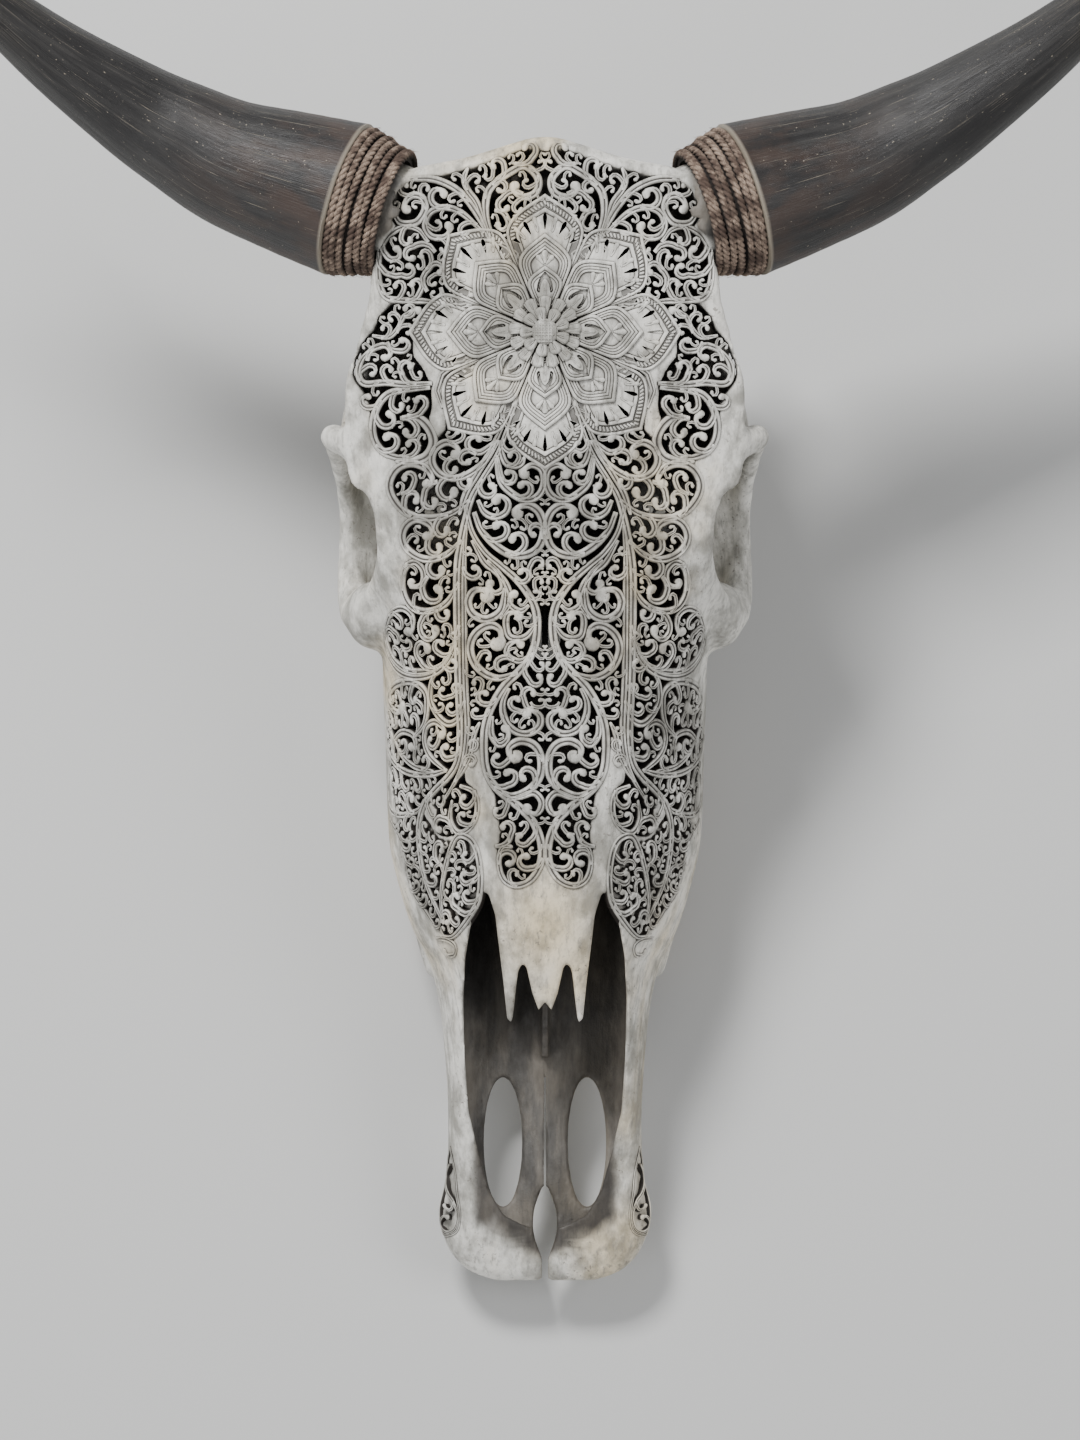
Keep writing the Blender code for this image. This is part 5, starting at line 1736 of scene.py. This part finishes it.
    def petal_groups(self) -> list[BMesh]:
        """Makes the petals of the three pointed tiers, one group for each turn."""
        slotted = ((self.outer, self.fan_slots()), (self.middle, []), (self.inner, [self.bow_slot()]))
        group = gathered([rib.build() for rib in self.band_beads() + self.leaves()])
        for tier, slots in slotted:
            petal = tier.build()
            if slots:
                petal = cut(petal, slots)
            group.from_mesh(petal.data)
            bpy.data.objects.remove(petal)
        groups = [moved(group.copy(), Matrix.Rotation(turn, 4, "Z")) for turn in self.outer.turns()]
        group.free()
        return groups

    def heart(self) -> list[BMesh]:
        """Makes the double rosette with its fine rays, and the cross-hatched boss."""
        parts = []
        for tier, near, far in ((self.rosette, 11.9, 16.4), (self.crown, 6.9, 11.0)):
            petal = tier.build()
            for turn in tier.turns():
                leaf = bmesh.new()
                leaf.from_mesh(petal.data)
                rays = []
                for lean in (-0.5, 0.0, 0.5):
                    way = np.array([lean * 0.28, 1.0]) / math.hypot(lean * 0.28, 1.0)
                    course = np.array([way * near + (lean * 0.6, 0), way * far + (lean * 0.9, 0)])
                    rays.append(Rib(course, 0.85, 0.5, 0.5, tier.lift + 0.25, foot=-1.0, spacing=1.3,
                                    profile=PLAIN_SECTION).build())
                parts.append(moved(gathered([leaf, *rays]), Matrix.Rotation(turn, 4, "Z")))
            bpy.data.objects.remove(petal)
        dome = bmesh.new()
        dome.verts.layers.float.new("dirt")
        bmesh.ops.create_uvsphere(dome, u_segments=36, v_segments=14, radius=self.boss)
        flat = Matrix.Diagonal((1, 1, self.boss_flat, 1))
        parts.append(moved(dome, Matrix.Translation((0, 0, self.boss_lift)) @ flat))
        for offset in np.arange(-4.8, 4.9, 1.6):
            span = math.sqrt(self.boss**2 - offset**2) * 0.9
            at = np.linspace(-span, span, 7)
            dome_height = np.sqrt(np.maximum(self.boss**2 - offset**2 - at**2, 0.0))
            rise = self.boss_lift + self.boss_flat * dome_height
            course = np.column_stack([np.full(7, offset), at])
            for flip in (False, True):
                line = Rib(course[:, ::-1] if flip else course, 0.75, 0.0, 0.9, 0.0, foot=-1.2, spacing=1.6,
                           profile=PLAIN_SECTION).build()
                for vert in line.verts:
                    along = vert.co.x if flip else vert.co.y
                    vert.co.z += float(np.interp(along, at, rise)) + 0.2
                parts.append(line)
        return parts

    def build(self, skin: FaceSkin, finish: Material) -> None:
        """Builds the lotus flat and wraps it onto the forehead.

        Args:
            skin: the surface of the face.
            finish: the bone's material.
        """
        whole = gathered(self.petal_groups() + self.heart())
        bmesh.ops.translate(whole, verts=whole.verts, vec=(*self.centre, 0.0))
        dress_carving(skin, to_object("lotus", whole, 50), finish)


# Horns, bindings and teeth

@dataclass
class Horn:
    """A keratin sheath with growth rings at its root; the rim that shows past the rope is pale with wear,
    partly a painted highlight.
    """

    side: Side
    sides: int = 56
    steps: int = 14
    spacing: float = 2.6
    thinnest: float = 1.0
    bore: float = 25.5
    bore_depth: float = 16.0
    mouth: float = 1.1

    def growth(self, at: np.ndarray, radius: np.ndarray) -> np.ndarray:
        """Gives how far growth rings and long furrows stand off the horn's round form.

        Args:
            at: the distance of each ring of points from the rim.
            radius: the horn's radius there.

        Returns:
            A height for each point of each ring.
        """
        phases = np.random.default_rng(11 + self.side.value).uniform(0, 2 * math.pi, 6)
        a = circle(self.sides)
        at, radius = at[:, None], radius[:, None]
        rings = 0.07 * np.sin(at * 0.55 + phases[0]) * np.exp(-at / 70)
        furrows = (0.22 * np.sin(3 * a + phases[1] + at * 0.012) + 0.14 * np.sin(7 * a + phases[2])
                   + 0.10 * np.sin(13 * a + phases[3]))
        return (rings + furrows) * np.minimum(radius / 20, 1.0)

    def build(self, finish: Material) -> None:
        """Sweeps the sheath from the bottom of its bore, round its rim and out to the tip.

        Args:
            finish: the horn's material.
        """
        line = evenly(spline(HORN_SPINE, self.steps), self.spacing)
        line = line[line[:, 3] > self.thinnest]
        ways = unit(np.gradient(line[:, :3], axis=0))
        reach = reach_along(line[:, :3])
        base = line[0, 3]
        inside = np.array([(*(line[0, :3] + ways[0] * depth), radius) for depth, radius in (
            (self.bore_depth, self.bore), (2.0, self.bore), (0.4, self.bore + 1.0), (-0.1, base - 2.4),
            (0.3, base - 1.0))])
        line[0, :3] += ways[0] * self.mouth
        growth = np.vstack([np.zeros((len(inside), self.sides)), self.growth(reach, line[:, 3])])
        rows = np.vstack([inside, line])
        ways = np.vstack([np.tile(ways[0], (len(inside), 1)), ways])
        rings = [ring_round(row[:3], way, row[3] + swell) for row, way, swell in zip(rows, ways, growth)]
        at = np.concatenate([np.zeros(len(inside)), reach])[:, None] * np.ones(self.sides)
        a = circle(self.sides)
        # A pale band along the rim: wear, partly a painted highlight.
        rim = 1.0 - smoothstep(0.1, 1.1, at)
        rim[:len(inside) - 1] = 0.1
        streak = np.stack([np.cos(a) * 0.5 + at * 0, np.sin(a) * 0.5 + at * 0, at / 150], axis=2)
        rings = np.array(rings) * (self.side.value, 1, 1)
        sheath = rolled(rings, streak=streak, along=at / reach[-1], rim=rim * 0.5)
        piece = to_object(f"horn_sheath_{self.side.word}", sheath, 60)
        dress(piece, finish, Slot.HORN, f"horn_{self.side.word}")


@dataclass
class Binding:
    """A three-strand rope wound round the root of a horn, over a layer of itself."""

    side: Side
    turns: int = 7
    start: float = -22.2
    end: float = -1.6
    skull_radius: float = 29.4
    horn_radius: float = 35.3
    bore: float = 26.3
    rope: float = 2.15
    strands: int = 3
    lay: float = 10.5
    strand_sides: int = 8
    hairs: int = 520

    def rope_at(self, share: np.ndarray) -> np.ndarray:
        """Gives the middle of the rope at shares of its length, about the horn's base."""
        angle = share * self.turns * 2 * math.pi
        risen = np.clip((share * self.turns - 0.7) / (self.turns - 1.7), 0.0, 1.0)
        sway = np.sin(math.pi * risen)
        radius = self.skull_radius + (self.horn_radius - self.skull_radius) * risen
        radius += 0.3 * np.sin(angle * 2.3)
        along = self.start + (self.end - self.start) * risen + 0.7 * np.sin(angle * 1.4 + 1) * sway
        return np.column_stack([radius * np.cos(angle), radius * np.sin(angle), along])

    def strand(self, number: int) -> BMesh:
        """Sweeps one strand, which winds round the middle of the rope.

        Args:
            number: the strand's number.

        Returns:
            The strand.
        """
        length = self.turns * 2 * math.pi * (self.skull_radius + self.horn_radius) / 2
        share = np.linspace(0.0, 1.0, int(length / 1.5))
        middle = self.rope_at(share)
        outward = unit(middle * (1, 1, 0))
        twist = (share * length / self.lay * 2 * math.pi + 2 * math.pi * number / self.strands)[:, None]
        thin = self.rope * 0.54
        centre = middle + (outward * np.cos(twist) + UP * np.sin(twist)) * (self.rope - thin)
        a = circle(self.strand_sides)[:, None]
        rings = centre[:, None] + (outward[:, None] * np.cos(a) + UP * np.sin(a)) * thin
        # Painted shade: a strand darkens where it turns in between the strands.
        facing = (np.cos(twist) + np.cos(a[:, 0])) / 2
        return rolled(rings, dirt=1.0 - smoothstep(-0.2, 0.8, facing))

    def underlay(self) -> BMesh:
        """Spins the layer that the rope lies on, painted all in shade."""
        foot = self.start + 0.5
        mesh = spun(((self.bore, foot), (self.skull_radius - 0.6, foot), (self.horn_radius - 0.6, self.end),
                     (self.bore, self.end)), 48, closed=True)
        dirt = mesh.verts.layers.float.new("dirt")
        for vert in mesh.verts:
            vert[dirt] = 1.0
        return mesh

    def frayed(self) -> list[BMesh]:
        """Makes the loose hairs that stand off the rope."""
        draw = np.random.default_rng(5)
        shares, leans, spins, lengths = (draw.uniform(low, high, self.hairs) for low, high in (
            (0, 1), (-0.9, 0.9), (-1, 1), (2.5, 6.0)))
        reach = np.linspace(0, 1, 4)[:, None]
        thin = 0.10 * (1 - 0.7 * reach[..., None])
        a = np.array([[0.0], [2.1], [4.2]])
        made = []
        for root, lean, spin, length in zip(self.rope_at(shares), leans, spins, lengths):
            out = unit(root * (1, 1, 0))
            drift = np.array([-out[1] * spin, out[0] * spin, lean])
            stand = self.rope * 0.8 + length * 0.32 * reach * (1 - 0.4 * reach)
            middle = root + out * stand + drift * length * reach
            made.append(rolled(middle[:, None] + (out * np.cos(a) + UP * np.sin(a)) * thin))
        return made

    def build(self, finish: Material) -> None:
        """Builds the wound rope with its loose hairs.

        Args:
            finish: the rope's material.
        """
        parts = [self.strand(number) for number in range(self.strands)]
        whole = gathered([*parts, self.underlay(), *self.frayed()])
        flat = np.array([vert.co[:] for vert in whole.verts])
        piece = to_object(f"rope_binding_{self.side.word}", moved(whole, horn_base(self.side)), 70)
        angle = np.arctan2(flat[:, 1], flat[:, 0])
        set_field(piece, "streak", np.column_stack([flat[:, 2] * 1.1, np.hypot(flat[:, 0], flat[:, 1]) * 1.1,
                                                    angle * 12]))
        dress(piece, finish, Slot.CORD, f"binding_{self.side.word}")


@dataclass
class CheekTeeth:
    """The six upper cheek teeth of one side, each with folded flanks and crescents on its grinding face."""

    side: Side
    lengths: Point = (13, 16, 18, 23, 26, 27)
    widths: Point = (15.0, 21.0)
    around: int = 48
    premolars: int = 3
    levels: tuple = ((0.9, 0.60), (0.25, 0.80), (0.0, 0.93), (0.7, 1.0), (2.5, 1.0), (8, 1.0), (14, 1.0),
                     (20, 0.98), (23.6, 0.96))
    outer_fold: float = 0.085
    inner_fold: float = 0.13

    def places(self) -> list[tuple[float, float]]:
        """Gives where each tooth starts and ends, as shares of the row."""
        row = math.dist(*TOOTH_ROW)
        spare = (row - sum(self.lengths)) / (len(self.lengths) - 1)
        starts = [sum(self.lengths[:number]) + spare * number for number in range(len(self.lengths))]
        return [(start / row, (start + length) / row) for start, length in zip(starts, self.lengths)]

    def crown(self, half_length: float, half_width: float, lobes: int) -> BMesh:
        """Rolls a tooth's folded flanks up from its grinding face.

        Args:
            half_length: half of the tooth's length along the row.
            half_width: half of its width.
            lobes: how many lobes its flanks have.

        Returns:
            The crown.
        """
        level, grow = np.array(self.levels).T[:, :, None]
        c, s = np.cos(circle(self.around)), np.sin(circle(self.around))
        square = (np.abs(c) ** 4 + np.abs(s) ** 4) ** -0.25
        y = s * square
        wave = 0.5 - 0.5 * np.cos(math.pi * lobes * (y + 1))
        fold = np.where(np.abs(y) > 0.93, 1.0, 1 - np.where(c > 0, self.outer_fold, self.inner_fold) * wave)
        up = np.minimum(level / 10, 1.0)
        rings = np.stack([c * square * half_width * fold * (0.86 + 0.14 * up) * grow,
                          y * half_length * 0.985 * grow * (0.95 + 0.05 * up), level + 0 * c], axis=2)
        dirt = np.maximum(smoothstep(0.93, 0.88, fold) * 0.8, smoothstep(13.0, 20.0, level) * 0.7)
        dirt[0] = np.maximum(dirt[0], 0.75)
        return rolled(rings, dirt=dirt)

    @staticmethod
    def crescents(half_length: float, half_width: float, lobes: int) -> list[BMesh]:
        """Makes the enamel crescents that stand on the grinding face, two for each lobe.

        Args:
            half_length: half of the tooth's length.
            half_width: half of its width.
            lobes: how many lobes its flanks have.

        Returns:
            The crescents.
        """
        made = []
        angle = np.linspace(-1.25, 1.25, 9)
        for lobe in range(lobes):
            middle = (2 * lobe + 1 - lobes) * half_length / lobes
            for across in (-0.32, 0.30):
                course = np.column_stack([half_width * (across + 0.20 * np.cos(angle)),
                                          middle + half_length / lobes * 0.62 * np.sin(angle)])
                crest = Rib(course, 1.1, 0.0, 0.6, -0.25, foot=-1.2, spacing=1.4).build()
                made.append(moved(crest, Matrix.Translation((0, 0, 0.35)) @ Matrix.Diagonal((1, 1, -1, 1))))
        return made

    def build(self, finish: Material) -> None:
        """Builds the row.

        Args:
            finish: the enamel.
        """
        for number, (near, far) in enumerate(self.places(), start=1):
            share = (near + far) / 2
            width = float(np.interp(share, (0, 1), self.widths))
            lobes = 2 if number > self.premolars else 1
            size = (far - near) * math.dist(*TOOTH_ROW) / 2, width / 2, lobes
            whole = moved(gathered([self.crown(*size), *self.crescents(*size)]), row_place(share, self.side))
            piece = to_object(f"cheek_tooth_{self.side.word}_{number}", whole, 50)
            dress(piece, finish, Slot.ENAMEL, f"tooth_{self.side.word}_{number}")


# The studio

@dataclass
class Studio:
    """A pale floor, soft lights and a camera that looks straight at the face."""

    floor_size: float = 9.0
    camera_distance: float = 6.0
    view_centre: Point = (-2.4, 271.2)
    view_height: float = 0.6912
    sensor: float = 36.0

    def camera(self) -> None:
        """Places the camera on the normal of the face, with the photograph's frame."""
        lens = bpy.data.cameras.new("camera")
        lens.sensor_width = self.sensor
        lens.lens = self.sensor * self.camera_distance / self.view_height
        lens.clip_end = 50.0
        item = bpy.data.objects.new("camera", lens)
        bpy.context.scene.collection.objects.link(item)
        x, y = self.view_centre
        item.location = FACE.matrix() @ Vector((x, y, self.camera_distance / MM))
        item.rotation_euler = (FACE.tilt, 0.0, 0.0)
        bpy.context.scene.camera = item

    def light(self, name: str, place: Point, target: Point, size: float, power: float,
              colour: Point = (1.0, 1.0, 1.0)) -> None:
        """Hangs a soft square light that faces a point."""
        lamp = bpy.data.lights.new(name, "AREA")
        lamp.energy = power
        lamp.size = size
        lamp.color = colour
        item = bpy.data.objects.new(name, lamp)
        bpy.context.scene.collection.objects.link(item)
        item.location = place
        item.rotation_euler = (Vector(target) - Vector(place)).to_track_quat("-Z", "Y").to_euler()

    def build(self) -> None:
        """Sets up the floor, the world, the lights and the camera."""
        mesh = bmesh.new()
        bmesh.ops.create_grid(mesh, x_segments=1, y_segments=1, size=self.floor_size)
        floor = to_object("floor", mesh)
        floor.location.z = -0.0005
        floor.data.materials.append(FloorFinish().material())
        world = bpy.data.worlds.new("studio")
        world.use_nodes = True
        world.node_tree.nodes["Background"].inputs["Color"].default_value = (0.86, 0.88, 0.92, 1.0)
        world.node_tree.nodes["Background"].inputs["Strength"].default_value = 0.38
        bpy.context.scene.world = world
        self.light("key_light", (-0.7, 1.1, 1.9), (0.0, 0.0, 0.1), 0.6, 60.0)
        self.light("fill_light", (1.5, -0.5, 1.5), (0.0, 0.0, 0.1), 1.2, 16.0)
        self.light("low_light", (-1.3, -1.3, 0.9), (0.0, 0.0, 0.1), 1.0, 12.0)
        self.camera()


def main() -> None:
    """Builds the skull, its carving, horns, bindings and teeth, and the studio round them."""
    logging.basicConfig(level=logging.INFO, format="%(name)s: %(message)s")
    for item in list(bpy.data.objects):
        bpy.data.objects.remove(item)
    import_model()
    bone = BoneFinish().material()
    horn = HornFinish().material()
    cord = CordFinish().material()
    enamel = EnamelFinish().material()

    head = Head()
    blank = head.blank()
    skin = FaceSkin(head.outer, blank)
    outer = BVHTree.FromObject(blank, bpy.context.evaluated_depsgraph_get())
    Bone().build(blank, outer, skin, bone)
    lotus = Lotus()
    Openwork(skin, lotus.outline()).build(bone)
    lotus.build(skin, bone)
    for side in Side:
        Horn(side).build(horn)
        Binding(side).build(cord)
        CheekTeeth(side).build(enamel)
    Studio().build()


if __name__ == "__main__":
    main()
